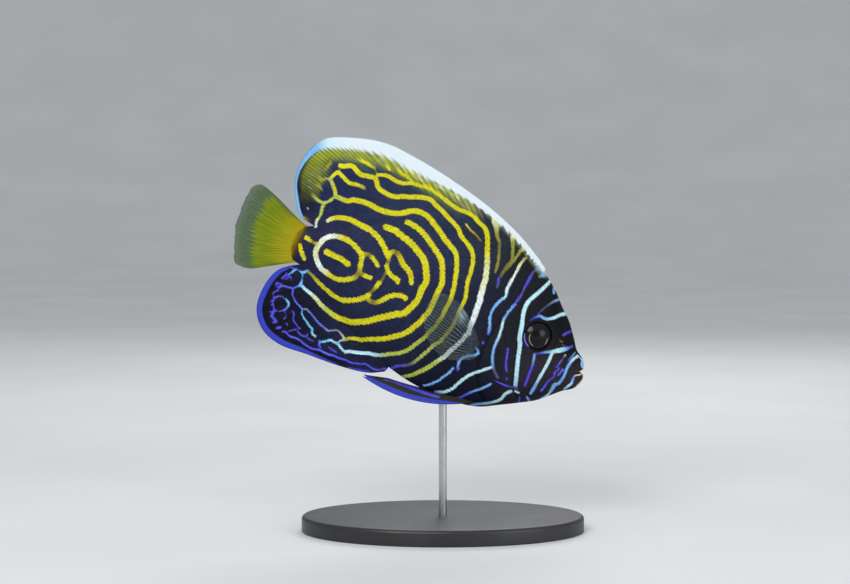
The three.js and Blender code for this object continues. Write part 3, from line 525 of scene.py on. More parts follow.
def beside(x, z, line):
    """Distance from a line seen from the side; above zero on the left of its direction."""
    line = np.asarray(line, float)
    best = np.full(np.shape(x), 1e9)
    sign = np.ones(np.shape(x))
    for (ax, az), (bx, bz) in zip(line[:-1], line[1:]):
        dx, dz = bx - ax, bz - az
        share = np.clip(((x - ax) * dx + (z - az) * dz) / (dx * dx + dz * dz), 0, 1)
        gap = np.hypot(x - ax - share * dx, z - az - share * dz)
        nearer = gap < best
        best = np.where(nearer, gap, best)
        sign = np.where(nearer, np.sign(dx * (z - az) - dz * (x - ax)), sign)
    return best * sign


def beside_curve(x, z, points, steps):
    """Distance from the smooth curve through the points, signed as beside gives it."""
    return beside(x, z, through(points, np.linspace(0, 1, steps)))


def from_back_edge(x, z):
    """How far a place is from the back fin's outer edge."""
    return np.abs(beside_curve(x, z, BACK_EDGE, 120))


def distances(places):
    """How far each row of places is along the surface from the first row."""
    steps = np.linalg.norm(np.diff(places, axis=0), axis=-1)
    return np.concatenate([np.zeros_like(steps[:1]), np.cumsum(steps, 0)])


def between(field, i, j, a, b):
    """A grid's values between four neighbours, at shares a and b of the way to the next ones."""
    return ((field[i, j] * (1 - a) + field[i + 1, j] * a) * (1 - b)
            + (field[i, j + 1] * (1 - a) + field[i + 1, j + 1] * a) * b)


def blurred(field, reach, spread):
    """A field with each place averaged with its neighbours."""
    weights = np.exp(-0.5 * (np.arange(-reach, reach + 1) / spread) ** 2)
    weights /= weights.sum()
    for axis in (0, 1):
        field = sum(w * np.roll(field, k, axis) for k, w in zip(range(-reach, reach + 1), weights))
    return field


class Painting:
    """Lines drawn on the flank: each place's distance from the nearest line's edge, and its colour."""

    step = 0.1
    low = (-67.0, -34.0)
    size = (1230, 750)
    far = 2.2
    steps_between = 5
    coloured = 0.5

    def __init__(self, *groups):
        self.gap = np.full(self.size, self.far)
        self.tint = np.zeros(self.size + (3,))
        for lines in groups:
            for line in lines:
                self.draw(*line)
        near = (self.gap < self.coloured).astype(float)
        weight = blurred(near, 4, 2.0) + 1e-6
        self.tint = np.stack([blurred(self.tint[..., k] * near, 4, 2.0) / weight for k in range(3)], -1)
        self.gap = blurred(self.gap, 3, 1.1)

    def draw(self, letters, widths, points):
        """Draws one line, its colours and widths spread evenly along it."""
        shares = np.linspace(0, 1, self.steps_between * (len(points) - 1) + 1)
        line = through(points, shares)
        half = np.interp(shares, np.linspace(0, 1, len(widths)), widths) / 2
        stops = np.array([linear(TINTS[letter]) for letter in letters])
        places = np.linspace(0, 1, len(stops))
        tints = np.stack([np.interp(shares, places, stops[:, k]) for k in range(3)], -1)
        for k in range(len(shares) - 1):
            self.stamp(line[k], line[k + 1], half[k:k + 2], tints[k:k + 2])

    def stamp(self, a, b, half, tints):
        """Draws the straight piece of a line from a to b."""
        reach = self.far + half.max()
        first = np.floor((np.minimum(a, b) - reach - self.low) / self.step).astype(int).clip(0)
        last = np.ceil((np.maximum(a, b) + reach - self.low) / self.step).astype(int)
        window = (slice(first[0], last[0]), slice(first[1], last[1]))
        gap = self.gap[window]
        x = self.low[0] + self.step * (first[0] + np.arange(gap.shape[0]))[:, None]
        z = self.low[1] + self.step * (first[1] + np.arange(gap.shape[1]))[None, :]
        along = b - a
        share = np.clip(((x - a[0]) * along[0] + (z - a[1]) * along[1]) / (along @ along), 0, 1)
        away = np.hypot(x - a[0] - share * along[0], z - a[1] - share * along[1])
        away -= half[0] + (half[1] - half[0]) * share
        nearer = away < gap
        gap[nearer] = away[nearer]
        self.tint[window][nearer] = (tints[0] + (tints[1] - tints[0]) * share[..., None])[nearer]

    def at(self, x, z):
        """The distance from a line's edge and the line's colour at each place."""
        u = ((x - self.low[0]) / self.step).clip(0, self.size[0] - 1.01)
        v = ((z - self.low[1]) / self.step).clip(0, self.size[1] - 1.01)
        i, j = u.astype(int), v.astype(int)
        u, v = u - i, v - j
        return between(self.gap, i, j, u, v), between(self.tint, i, j, u[..., None], v[..., None])


def ground_patches(x, z):
    """Patches over the zones of the ground: how much they cover at each place, and their sRGB colour."""
    under = np.abs(beside_curve(x, z, ANAL_EDGE, 100))
    inside = from_back_edge(x, z)
    # Near black inside the anal fin's blue edge, and navy inside the back fin's light blue one
    yield smooth(z, -8, -12) * smooth(x, -8, -20) * smooth(under, 3.6, 2.6), (11, 12, 30)
    yield smooth(x, -44, -48) * smooth(z, 8, 10) * smooth(inside, 2.3, 1.7), (11, 15, 50)
    # Sea green, navy, and two olives along the outer part of the back fin
    yield 0.8 * spot(x, z, (-35.5, 28.3), (4, 1.6)), (56, 92, 80)
    yield 0.7 * smooth(np.abs(x - 0.5), 5, 3) * smooth(np.abs(z - 31.2), 1.4, 0.7), (34, 42, 72)
    outer = smooth(inside, 9.5, 6.5) * smooth(z, 20, 26)
    yield 0.75 * outer * smooth(x, 2, -10) * smooth(x, -46, -38), (94, 114, 76)
    yield 0.8 * smooth(x, -43, -46) * smooth(z, 13, 20) * smooth(inside, 9.5, 7), (62, 76, 32)
    # The root of the tail fin, brown then yellow, with two brown smudges
    for at, rgb in ((-43.3, (88, 66, 20)), (-44.2, (140, 120, 16)), (-45.3, (172, 156, 14))):
        yield smooth(x, at, at - 0.8) * smooth(np.abs(z + 0.8), 8.2, 7), rgb
    yield 0.7 * spot(x, z, (-45.2, -2.8), (0.6, 1.4)), (84, 54, 12)
    yield 0.5 * spot(x, z, (-45.5, 1.8), (0.5, 1.6)), (104, 74, 12)
    # Painted shade in the grooves behind the gill cover and the cheek
    for edge, high, low in ((GILL_EDGE, 12, -20), (CHEEK_EDGE, 6, -14)):
        groove = hump(beside_curve(x, z, edge, 60), -0.5, 0.45)
        yield 0.75 * groove * smooth(z, high, high - 4) * smooth(z, low - 3, low), (9, 10, 14)
    # Pale lower lids of the nostrils
    for px, pz, radius in NOSTRILS:
        away = np.hypot(x - px, z - pz)
        ring = smooth(away, radius + 0.3, radius + 0.1) * smooth(away, radius * 0.5, radius)
        yield smooth(z - pz, 0.15, -0.2) * ring, (128, 118, 98)
    # Brown inside the lips
    yield smooth(np.abs(beside(x, z, MOUTH_LINE)), 0.72, 0.45) * smooth(x, 49.9, 50.6), (120, 70, 34)


def flank_ground(x, z):
    """The colour between the lines."""
    total = np.zeros(np.shape(x) + (3,))
    weight = np.full(np.shape(x), 1e-9)
    for (px, pz), reach, rgb in ZONES.values():
        near = np.exp(-((x - px) ** 2 + (z - pz) ** 2) / reach**2)
        total += near[..., None] * linear(rgb)
        weight += near
    colour = total / weight[..., None]
    for share, rgb in ground_patches(x, z):
        colour = colour * (1 - share[..., None]) + share[..., None] * linear(rgb)
    return colour


def fin_streaks(x, z):
    """How much of the ground the streaks along the back fin's rays take, and their colour."""
    inside = from_back_edge(x, z)
    share = np.zeros(np.shape(x))
    colour = np.tile(linear((150, 164, 44)), np.shape(x) + (1,))
    for amount, rgb in (
            # Yellow green along the outer fin, and two olives at its rear
            (smooth(x, -4, -16) * smooth(inside, 8.4, 5) * smooth(z, 17, 24), (176, 188, 52)),
            (0.9 * smooth(x, -43.5, -47) * smooth(z, 11, 16) * smooth(z, 27, 22), (126, 138, 40)),
            (0.45 * smooth(x, -45.5, -48) * smooth(z, 9, 12) * smooth(z, 20, 15), (74, 72, 30)),
            # Paler towards the white edge, above the middle and at the front
            (0.9 * smooth(z, 24, 28) * smooth(inside, 6, 4) * smooth(x, -34, -20) * smooth(x, 6, -2),
             (190, 198, 100)),
            (0.85 * smooth(z, 18, 23) * smooth(inside, 3.2, 1.9) * smooth(x, -2, 6), (150, 156, 104))):
        part = (amount / np.maximum(share + amount, 1e-9))[..., None]
        colour = colour * (1 - part) + part * linear(rgb)
        share = np.maximum(share, amount)
    # None inside the net's large mesh or beside the light blue edge
    share = share * smooth(np.hypot(x + 43.2, z - 17.1), 1.6, 2.6)
    share = share * (1 - smooth(x, -49, -51) * smooth(z, 33, 29) * smooth(inside, 2.3, 1.6))
    return share, colour


# Shape of the fish

def body_lines(t):
    """The back line and the belly line at shares of the way from tail to lips."""
    return through(SECTIONS[:, 0:2], t), through(SECTIONS[:, 2:4], t)


def body_half_width(t):
    """Half the width of the body at shares of the way from tail to lips."""
    return through(np.stack([np.arange(len(SECTIONS)), SECTIONS[:, 4]], -1), t)[..., 1]


def share_at(which, x):
    """How far along the body, from tail to lips, its back or belly line passes x."""
    t = np.linspace(0, 1, 4000)
    return float(np.interp(x, body_lines(t)[which][:, 0], t))


def fullness(s):
    """How much of its half width the body has from its belly line, at -1, to its back line, at 1."""
    return np.clip(1 - np.abs(s) ** SECTION_POWER, 0, None) ** SECTION_TAPER


def ray_crest(phase):
    """1 on a ray, 0 between rays, where phase runs from 0 to 1 from gap to gap."""
    return np.clip(np.cos(2 * math.pi * (phase % 1.0 - 0.5)), 0, 1) ** 0.8


def ray_places(u, fin):
    """How many spines and rays lie ahead of a place across the back fin."""
    spiny = fin["spiny"]
    soft = fin["spines"] + (u - spiny) / (1 - spiny) * fin["rays"]
    return np.where(u < spiny, u / spiny * fin["spines"], soft)


def fin_places(root, edge, bow, v):
    """Places on a fin's middle sheet, on rays from root to edge that are bent by bow."""
    along = edge - root
    across = np.stack([-along[..., 1], along[..., 0]], -1) * bow
    return root + along * v + across * 4 * v * (1 - v)


def fin_half(fin, v):
    """Half a fin's thickness from its root to its edge."""
    root, edge = fin["half"]
    return root + (edge - root) * np.sqrt(v)


def surface_relief(x, z, half):
    """Half the body's width with the eye socket, gill cover, cheek, nostrils, folds and fin root."""
    # Eye socket, the swelling round it, and the brow
    away = np.hypot(x - EYE[0], z - EYE[1])
    half = half - 1.5 * smooth(away, EYE_RADIUS + 0.1, EYE_RADIUS - 0.9)
    half = half + 0.3 * hump(away, EYE_RADIUS + 0.6, 0.8)
    half = half + 0.25 * hump(z + 0.35 * (x - 34), 11.5, 2.2) * smooth(np.abs(x - 34), 8, 3)
    # Gill cover, raised over the groove behind it
    gill = beside_curve(x, z, GILL_EDGE, 60)
    length = smooth(z, 13, 8) * smooth(z, -22.5, -18.5)
    half = half + length * 0.5 * smooth(gill, -0.25, 0.35) * smooth(gill, 9, 1)
    half = half - length * 0.3 * hump(gill, -0.7, 0.6)
    # Cheek, likewise
    cheek = beside_curve(x, z, CHEEK_EDGE, 60)
    length = smooth(z, 7.5, 3) * smooth(x, 43, 39)
    raised = 0.28 * smooth(cheek, -0.45, 0.55) * smooth(cheek, 6, 1)
    half = half + length * (raised - 0.16 * hump(cheek, -0.75, 0.6))
    # Nostrils, each a pit in a small rim
    for px, pz, radius in NOSTRILS:
        away = np.hypot(x - px, z - pz)
        half = half + 0.22 * hump(away, radius + 0.12, 0.16) - 0.6 * smooth(away, radius, radius * 0.5)
    # Fleshy root of the pectoral fin
    half = half + 0.8 * smooth(np.hypot((x - 19.9) / 1.6, (z + 8) / 3.4), 1.25, 0.2)
    # Folds behind the lips
    for line, depth, width in ((LOWER_LIP_FOLD, 0.22, 0.35), (UPPER_LIP_FOLD, 0.16, 0.3)):
        half = half - depth * hump(beside(x, z, line), 0, width)
    return half


def opened_mouth(x, z, half):
    """The slit of the mouth with a full lip above and below it."""
    # The lower lip, then the upper one, swell forward
    front = smooth(x, 50.2, 52.4)
    x = x + front * (0.85 * hump(z, -2.1, 1.5) + 0.4 * hump(z, 1.5, 0.9))
    along = through(MOUTH_LINE, np.linspace(0, 1, 30))
    off = np.abs(z - np.interp(x, along[:, 0], along[:, 1])) - 0.56 * smooth(x, 49.4, 52.8)
    x = x - front * 0.35 * smooth(off, 0.6, 0.0)
    # They swell sideways too, except where the head closes in front
    lip = np.sin(np.pi * np.clip(off / 1.5, 0, 1)) ** 0.8 * (off < 1.5)
    half = half + smooth(x, 49.7, 50.9) * 0.34 * lip * smooth(half, 0.0, 0.5)
    # Between them the slit runs in and back
    inside = smooth(off, 0.06, -0.12) * smooth(x, 49.7, 50.3)
    half = half * (1 - 0.94 * inside)
    x = x - inside * np.clip(x - 50.9, 0, None) * 0.85
    return x, half


class Flank:
    """The right side of the skin as three sheets of places: body, back fin and anal fin."""

    tail_columns = 5
    flank_columns = 86
    lip_columns = 52
    per_ray = 5

    def __init__(self):
        spiny = BACK_FIN["spiny"]
        across = np.concatenate([
            np.linspace(1, spiny, BACK_FIN["rays"] * self.per_ray, endpoint=False),
            np.linspace(spiny, 0, BACK_FIN["spines"] * self.per_ray + 1)])
        self.t = self.shares_along(across)
        back_columns = np.arange(len(across)) + self.tail_columns
        rear, front = share_at(1, ANAL_FIN["rear"]), share_at(1, ANAL_FIN["front"])
        anal_columns = np.flatnonzero((self.t >= rear) & (self.t <= front))
        anal_t = self.t[anal_columns]
        anal_across = (anal_t - anal_t[-1]) / (anal_t[0] - anal_t[-1])

        # How thick the fins are where they stand on the back line and the belly line
        roots = np.zeros((2, len(self.t)))
        roots[0, back_columns] = BACK_FIN["half"][0] * self.presence(across)
        roots[1, anal_columns] = ANAL_FIN["half"][0] * self.presence(anal_across)
        s = np.linspace(-1, 1, BODY_ROWS)[:, None]
        s = 0.5 * s + 0.5 * np.sin(s * math.pi / 2)
        self.body = self.with_tail_cap(s, *self.body_sheet(s, *roots))
        self.back_columns, self.anal_columns = (
            slice(columns[0] + TAIL_CAP, columns[-1] + 1 + TAIL_CAP)
            for columns in (back_columns, anal_columns))

        back_rays, anal_rays = ray_places(across, BACK_FIN), anal_across * ANAL_FIN["rays"]
        self.back = self.fin(BACK_FIN, self.body[-1, self.back_columns], through(BACK_EDGE, across),
                             -0.04 * np.sin(math.pi * across), across, back_rays)
        self.anal = self.fin(ANAL_FIN, self.body[0, self.anal_columns], through(ANAL_EDGE, anal_across),
                             0.05 * (1 - anal_across), anal_across, anal_rays)
        self.body_guide = np.zeros(self.body.shape[:2] + (2,))
        self.back_guide = self.guide(self.back, back_rays)
        self.anal_guide = self.guide(self.anal, anal_rays)
        self.unwrap()

    def shares_along(self, across):
        """The body's columns as shares of the way to the lips: some for each ray, more at the lips."""
        rear, front = share_at(0, BACK_FIN["rear"]), share_at(0, BACK_FIN["front"])
        snout = share_at(0, SNOUT)
        return np.concatenate([
            np.linspace(0, rear, self.tail_columns, endpoint=False),
            front + (rear - front) * across,
            np.linspace(front, snout, self.flank_columns)[1:-1],
            1 - (1 - snout) * np.linspace(1, 0, self.lip_columns) ** 1.7])

    def body_sheet(self, s, back_root, anal_root):
        """The body from belly line to back line, which meets the roots of the fins in a fillet."""
        back, belly = body_lines(self.t)
        reach = np.linalg.norm(back - belly, axis=-1) / 2
        middle, half_height = (back + belly) / 2, (back - belly) / 2
        x = middle[:, 0] + half_height[:, 0] * s
        z = middle[:, 1] + half_height[:, 1] * s
        round_end = rounded(1 - smooth(self.t, 1 - 0.085, 1.0) ** 2.4)
        half = body_half_width(self.t) * fullness(s) * round_end
        half = surface_relief(x, z, half)
        half = np.maximum(half, 0.12 * smooth(self.t, 1.0, 0.94)) * (np.abs(s) < 1)
        for root, down in ((back_root, (1 - s) * reach), (anal_root, (1 + s) * reach)):
            fin = root * hump(down, 0, 2.6)
            half = 0.5 * (half + fin + np.sqrt((half - fin) ** 2 + (0.5 * fin) ** 2))
        rooted = np.where(s > 0, back_root > 0, anal_root > 0)
        half = np.where((np.abs(s) >= 1) & ~rooted, 0, half)
        half[:, -1] = 0
        x, half = opened_mouth(x, z, half)
        half[:, -1] = 0
        return x, half, z

    @staticmethod
    def with_tail_cap(s, x, half, z):
        """The body's sheet with the scaled flesh run out over the root of the tail fin in a curve."""
        out = np.linspace(1, 0, TAIL_CAP, endpoint=False)[:, None]
        cap = s.T
        cap_x = x[:, 0] - (0.4 + 2.9 * (1 - cap**2)) * out
        cap_z = z[:, 0] * (1 + 0.04 * out)
        thin = (0.66 - 0.16 * out) * rounded(1 - cap**2)
        cap_half = (half[:, 0] + (thin - half[:, 0]) * smooth(out, 0, 0.9)) * rounded(1 - out**8)
        parts = ((cap_x, x), (cap_half, half), (cap_z, z))
        return np.stack([np.hstack([end.T, sheet]) for end, sheet in parts], -1)

    @staticmethod
    def guide(sheet, rays):
        """Across the rays, one for each ray, and out along them from 0 to 1."""
        out = np.linspace(0, 1, sheet.shape[0])[:, None]
        return np.stack(np.broadcast_arrays(rays[None, :], out), -1)

    @staticmethod
    def presence(u):
        """1 over most of a fin, falling to nothing at its front and rear."""
        return rounded(both_ends(u), 0.03)

    def fin(self, fin, root, edge, bow, u, rays):
        """One side of a fin that grows out of the body's own edge, with its rays raised."""
        v = np.linspace(0, 1, fin["rows"])[:, None]
        v = 0.75 * v + 0.25 * np.sin(v * math.pi / 2)
        places = fin_places(root[None][..., (0, 2)], edge[None], bow[None, :, None], v[..., None])
        raised = fin["ridge"] * ray_crest(rays) * smooth(v, 0.0, 0.25) * (1 - 0.5 * v)
        half = (fin_half(fin, v) + raised) * self.presence(u) * rounded(1 - v, 0.04)
        sheet = np.stack([places[..., 0], half, places[..., 1]], -1)
        sheet[0] = root
        sheet[-1, :, 1] = 0
        sheet[:, (0, -1), 1] = 0
        sheet[0, (0, -1)] = root[[0, -1]]
        return sheet

    def unwrap(self):
        """Flat places for each sheet, by the length of the way over the surface."""
        middle = BODY_ROWS // 2
        up = distances(self.body)
        up = up - up[middle]
        ahead = distances(self.body[middle])
        self.body_flat = np.stack([np.broadcast_to(ahead, up.shape), up], -1)
        self.back_flat = self.fin_flat(self.back, self.body_flat[-1, self.back_columns], 1)
        self.anal_flat = self.fin_flat(self.anal, self.body_flat[0, self.anal_columns], -1)
        low = min(self.body_flat[..., 1].min(), self.anal_flat[..., 1].min())
        high = max(self.body_flat[..., 1].max(), self.back_flat[..., 1].max())
        for flat in (self.body_flat, self.back_flat, self.anal_flat):
            flat[..., 0] = BAKE_EDGE + BAKE_WIDTH * flat[..., 0] / ahead[-1]
            flat[..., 1] = BAKE_EDGE + BAKE_HEIGHT * (flat[..., 1] - low) / (high - low)

    @staticmethod
    def fin_flat(sheet, start, way):
        """Flat places for a fin, out from the flat places of its root."""
        out = distances(sheet)
        return np.stack([np.broadcast_to(start[:, 0], out.shape), start[:, 1] + way * out], -1)

    def half_at(self, x, z):
        """Half the body's width at a place seen from the side."""
        near = np.hypot(self.body[..., 0] - x, self.body[..., 2] - z)
        row, column = np.unravel_index(near.argmin(), near.shape)
        return self.body[row, column, 1]


FLANK = Flank()
MARKINGS = Painting(LINES, EDGES)


# Meshes

def in_edit_mode(*steps):
    """Runs steps in edit mode on all of the active piece, and turns its faces outwards."""
    bpy.ops.object.mode_set(mode="EDIT")
    bpy.ops.mesh.select_all(action="SELECT")
    for step in steps:
        step()
    bpy.ops.mesh.normals_make_consistent(inside=False)
    bpy.ops.object.mode_set(mode="OBJECT")


def deselected():
    """Leaves edit mode and selects nothing."""
    if bpy.context.object and bpy.context.object.mode != "OBJECT":
        bpy.ops.object.mode_set(mode="OBJECT")
    bpy.ops.object.select_all(action="DESELECT")


def places_of(obj):
    """The places of a piece's points."""
    flat = np.empty(len(obj.data.vertices) * 3, np.float32)
    obj.data.vertices.foreach_get("co", flat)
    return flat.reshape(-1, 3).astype(float)


def set_places(obj, places):
    """Moves a piece's points to places."""
    obj.data.vertices.foreach_set("co", places.reshape(-1).astype(np.float32))


def set_bake_map(mesh, flat):
    """Gives a mesh its map, with a flat place for each corner of its faces."""
    layer = mesh.uv_layers.new(name="OFBake")
    layer.uv.foreach_set("vector", flat.reshape(-1).astype(np.float32))


def set_layer(obj, name, values):
    """Stores a number for each point of a piece."""
    layer = obj.data.attributes.new(name, "FLOAT", "POINT")
    layer.data.foreach_set("value", np.ascontiguousarray(values).reshape(-1).astype(np.float32))


def set_colour_layer(obj, name, rgb):
    """Stores a linear colour for each point of a piece."""
    layer = obj.data.attributes.new(name, "FLOAT_COLOR", "POINT")
    rgba_values = np.concatenate([rgb, np.ones(rgb.shape[:-1] + (1,))], -1)
    layer.data.foreach_set("color", rgba_values.reshape(-1).astype(np.float32))


def sheet_of(name, places, flat=None, layers=()):
    """A grid of faces whose points are moved to places, rows by columns."""
    rows, columns = places.shape[:2]
    deselected()
    bpy.ops.mesh.primitive_grid_add(x_subdivisions=columns - 1, y_subdivisions=rows - 1, size=1)
    obj = bpy.context.active_object
    obj.name = name
    mesh = obj.data
    if len(mesh.vertices) != rows * columns:
        raise RuntimeError(f"{name}: the grid has {len(mesh.vertices)} points, not {rows * columns}")
    set_places(obj, places)
    while mesh.uv_layers:
        mesh.uv_layers.remove(mesh.uv_layers[0])
    if flat is not None:
        corner = np.empty(len(mesh.loops), np.int32)
        mesh.loops.foreach_get("vertex_index", corner)
        set_bake_map(mesh, flat.reshape(-1, 2)[corner])
    for layer_name, values in layers:
        set_layer(obj, layer_name, np.broadcast_to(values, (rows, columns)))
    mesh.update()
    return obj


def joined(name, objects):
    """Sheets joined into one closed piece, its doubles merged and its faces turned outwards."""
    deselected()
    for obj in objects:
        obj.select_set(True)
    bpy.context.view_layer.objects.active = objects[0]
    if len(objects) > 1:
        bpy.ops.object.join()
    obj = bpy.context.active_object
    in_edit_mode(lambda: bpy.ops.mesh.remove_doubles(threshold=1e-6))
    bpy.ops.object.shade_smooth()
    obj.name = name
    obj.data.name = name
    return obj


def two_faced(name, u, v, x, z, middle, half, layers, side=1):
    """A fin of its own with two faces, half its thickness to each side of its middle sheet."""
    half[:, (0, -1)] = 0
    half[-1] = 0
    u, v = np.broadcast_arrays(u, v)
    faces = []
    for face, _ in SIDES:
        up = BAKE_EDGE + BAKE_HEIGHT * v + (BAKE_LEFT if face > 0 else 0)
        flat = np.stack([BAKE_EDGE + BAKE_WIDTH * u, up], -1)
        faces.append(sheet_of("face", to_stand(x, side * (middle + face * half), z), flat, layers))
    return joined(name, faces)


def spun(name, profile, steps):
    """A profile of places away from and up the middle line, turned about it."""
    deselected()
    bpy.ops.mesh.primitive_plane_add(size=1)
    obj = bpy.context.active_object
    obj.name = name
    mesh = obj.data
    mesh.clear_geometry()
    points = [(away, 0.0, height) for away, height in profile]
    mesh.from_pydata(points, [(k, k + 1) for k in range(len(points) - 1)], [])
    in_edit_mode(
        lambda: bpy.ops.mesh.spin(steps=steps, angle=2 * math.pi, center=(0, 0, 0), axis=(0, 0, 1)),
        lambda: bpy.ops.mesh.select_all(action="SELECT"),
        lambda: bpy.ops.mesh.remove_doubles(threshold=1e-4))
    bpy.ops.object.shade_smooth()
    return obj


def paint(obj, painting, ground, streaks=None, seen_at=None):
    """Sets the distance to the nearest line and the colours of that line, the ground and the streaks."""
    x, z = side_view(places_of(obj)) if seen_at is None else seen_at
    gap, tint = painting.at(x, z)
    set_layer(obj, "line_gap", gap)
    set_colour_layer(obj, "line_colour", tint)
    set_colour_layer(obj, "ground_colour", ground(x, z))
    if streaks:
        share, colour = streaks(x, z)
        set_layer(obj, "streak_share", share)
        set_colour_layer(obj, "streak_colour", colour)


def ride(obj, slot, material, *nodes):
    """Gives a piece its material, attaches it to the root body and hides the nodes that it replaces;
    slot is not used.
    """
    obj.data.materials.clear()
    obj.data.materials.append(material)
    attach(obj, "root")
    if nodes:
        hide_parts(*nodes)


# Materials

class Value:
    """A socket in a material, so that shader maths reads like sums."""

    def __init__(self, finish, socket):
        self.finish = finish
        self.socket = socket

    def maths(self, operation, *others):
        """A sum of this value and others."""
        return self.finish.node("ShaderNodeMath", dict(enumerate((self,) + others)), operation=operation)

    def __add__(self, other):
        return self.maths("ADD", other)

    def __sub__(self, other):
        return self.maths("SUBTRACT", other)

    def __rsub__(self, other):
        return self.finish.node("ShaderNodeMath", {0: other, 1: self}, operation="SUBTRACT")

    def __mul__(self, other):
        return self.maths("MULTIPLY", other)

    __radd__ = __add__
    __rmul__ = __mul__

    def wave(self, times):
        """From 0 to 1 and back, times over for each step of 1 in the value."""
        turn = self * (2 * math.pi * times)
        return self.finish.node("ShaderNodeMath", {0: turn}, operation="COSINE") * 0.5 + 0.5

    def ramp(self, low, high, start=0.0, end=1.0):
        """An even S from start to end as the value goes from low to high."""
        return self.finish.node("ShaderNodeMapRange", {"Value": self, "From Min": low, "From Max": high,
                                "To Min": start, "To Max": end}, interpolation_type="SMOOTHSTEP")


class Finish:
    """A procedural material around one Principled shader."""

    def __init__(self, name, **constants):
        self.material = bpy.data.materials.new(name)
        self.material.use_nodes = True
        self.tree = self.material.node_tree
        self.shader = next(n for n in self.tree.nodes if n.type == "BSDF_PRINCIPLED")
        for socket, value in constants.items():
            self.shader.inputs[socket.replace("_", " ")].default_value = value

    def node(self, kind, inputs=None, output=0, **settings):
        """Adds a node, with values linked and constants set on its inputs; gives one of its outputs."""
        node = self.tree.nodes.new(kind)
        for key, value in settings.items():
            setattr(node, key, value)
        for key, value in (inputs or {}).items():
            socket = node.inputs[key]
            if isinstance(value, Value):
                self.tree.links.new(value.socket, socket)
            else:
                socket.default_value = value
        return Value(self, node.outputs[output])

    def layer(self, name, colour=False):
        """A number or a colour stored on the mesh."""
        return self.node("ShaderNodeAttribute", output="Color" if colour else "Fac", attribute_name=name)

    def place(self):
        """The place on the piece."""
        return self.node("ShaderNodeTexCoord", output="Object")

    def noise(self, scale, detail=2.0):
        """Noise over the piece."""
        inputs = {"Vector": self.place(), "Scale": scale, "Detail": detail}
        return self.node("ShaderNodeTexNoise", inputs)

    def streaks(self, across, along):
        """Noise drawn out along the fin rays, with steps for one ray across and for the fin along."""
        place = self.node("ShaderNodeCombineXYZ", {
            "X": self.layer("rays") * across, "Y": self.layer("out") * along})
        return self.node("ShaderNodeTexNoise", {"Vector": place, "Scale": 1.0, "Detail": 2.0})

    def mix(self, share, first, second, blend="MIX"):
        """The first colour with a share of the second."""
        return self.node("ShaderNodeMix", {0: share, 6: first, 7: second}, output=2,
                         data_type="RGBA", blend_type=blend)

    def feed(self, socket, value):
        """Links a value to a socket of the shader."""
        self.tree.links.new(value.socket, self.shader.inputs[socket])

    def bump(self, height, strength, distance):
        """Raises the surface by a value."""
        self.feed("Normal", self.node("ShaderNodeBump", {
            "Height": height, "Strength": strength, "Distance": distance}))


def rgba(rgb):
    """sRGB numbers up to 255 as a linear colour for a socket."""
    return (*linear(rgb), 1.0)


def skin_finish(name, scales):
    """Lines over a speckled ground; each scale has its own tone, painted shade at its root, painted
    sheen at its tip.
    """
    finish = Finish(name, Specular_IOR_Level=0.09)
    speckle = finish.noise(5200)
    share = finish.layer("streak_share")
    streak = finish.layer("rays").wave(2) * 0.3
    streak = (streak + finish.streaks(5, 4) * 0.6 + finish.streaks(13, 3) * 0.4).ramp(0.35, 0.9)
    ground = finish.layer("ground_colour", True)
    ground = finish.mix(share * (streak * 0.7 + 0.3), ground, finish.layer("streak_colour", True))
    cloud = finish.noise(380).ramp(0.38, 0.68, 0.0, 0.5)
    ground = finish.mix(cloud, ground, (0.66, 0.68, 0.62, 1), "MULTIPLY")
    ground = finish.mix(speckle.ramp(0.3, 0.7, 0.0, 0.55), ground, (0.58, 0.58, 0.62, 1), "MULTIPLY")
    gap = finish.layer("line_gap")
    edge = gap + (finish.noise(1700, 1.0) - 0.5) * 0.24 - (streak - 0.5) * share * 0.9
    line = finish.layer("line_colour", True)
    deep = finish.mix(1.0, line, (0.78, 0.64, 0.6, 1), "MULTIPLY")
    line = finish.mix(gap.ramp(-0.28, 0.05) * (1 - share), line, deep)
    colour = finish.mix((edge * (1 - share * 0.85)).ramp(0.12, -0.12), ground, line)
    if scales:
        tone = finish.layer("tone") * 0.3 + 0.8
        tone = finish.node("ShaderNodeCombineColor", dict.fromkeys(range(3), tone))
        colour = finish.mix(1.0, colour, tone, "MULTIPLY")
        tip = finish.layer("tip")
        # Painted shade on each scale's root, where it goes under its neighbour
        colour = finish.mix(tip.ramp(0.75, 0.1, 0.0, 0.5), colour, (0.55, 0.53, 0.56, 1), "MULTIPLY")
        # Painted bluish sheen on each scale's free tip
        colour = finish.mix(tip.ramp(0.8, 1.0, 0.0, 0.2), colour, (0.02, 0.024, 0.05, 1), "SCREEN")
        finish.bump(finish.noise(9000), 0.2, 0.00005)
    else:
        ribs = finish.layer("out").ramp(0.0, 0.1) * (finish.layer("rays").wave(2) * 0.5 + streak * 0.3)
        finish.bump(finish.noise(2600, 3.0) * 0.5 + speckle * 0.3 + ribs, 0.4, 0.00012)
    finish.feed("Base Color", colour)
    finish.feed("Roughness", speckle.ramp(0.2, 0.8, 0.4, 0.58))
    return finish.material


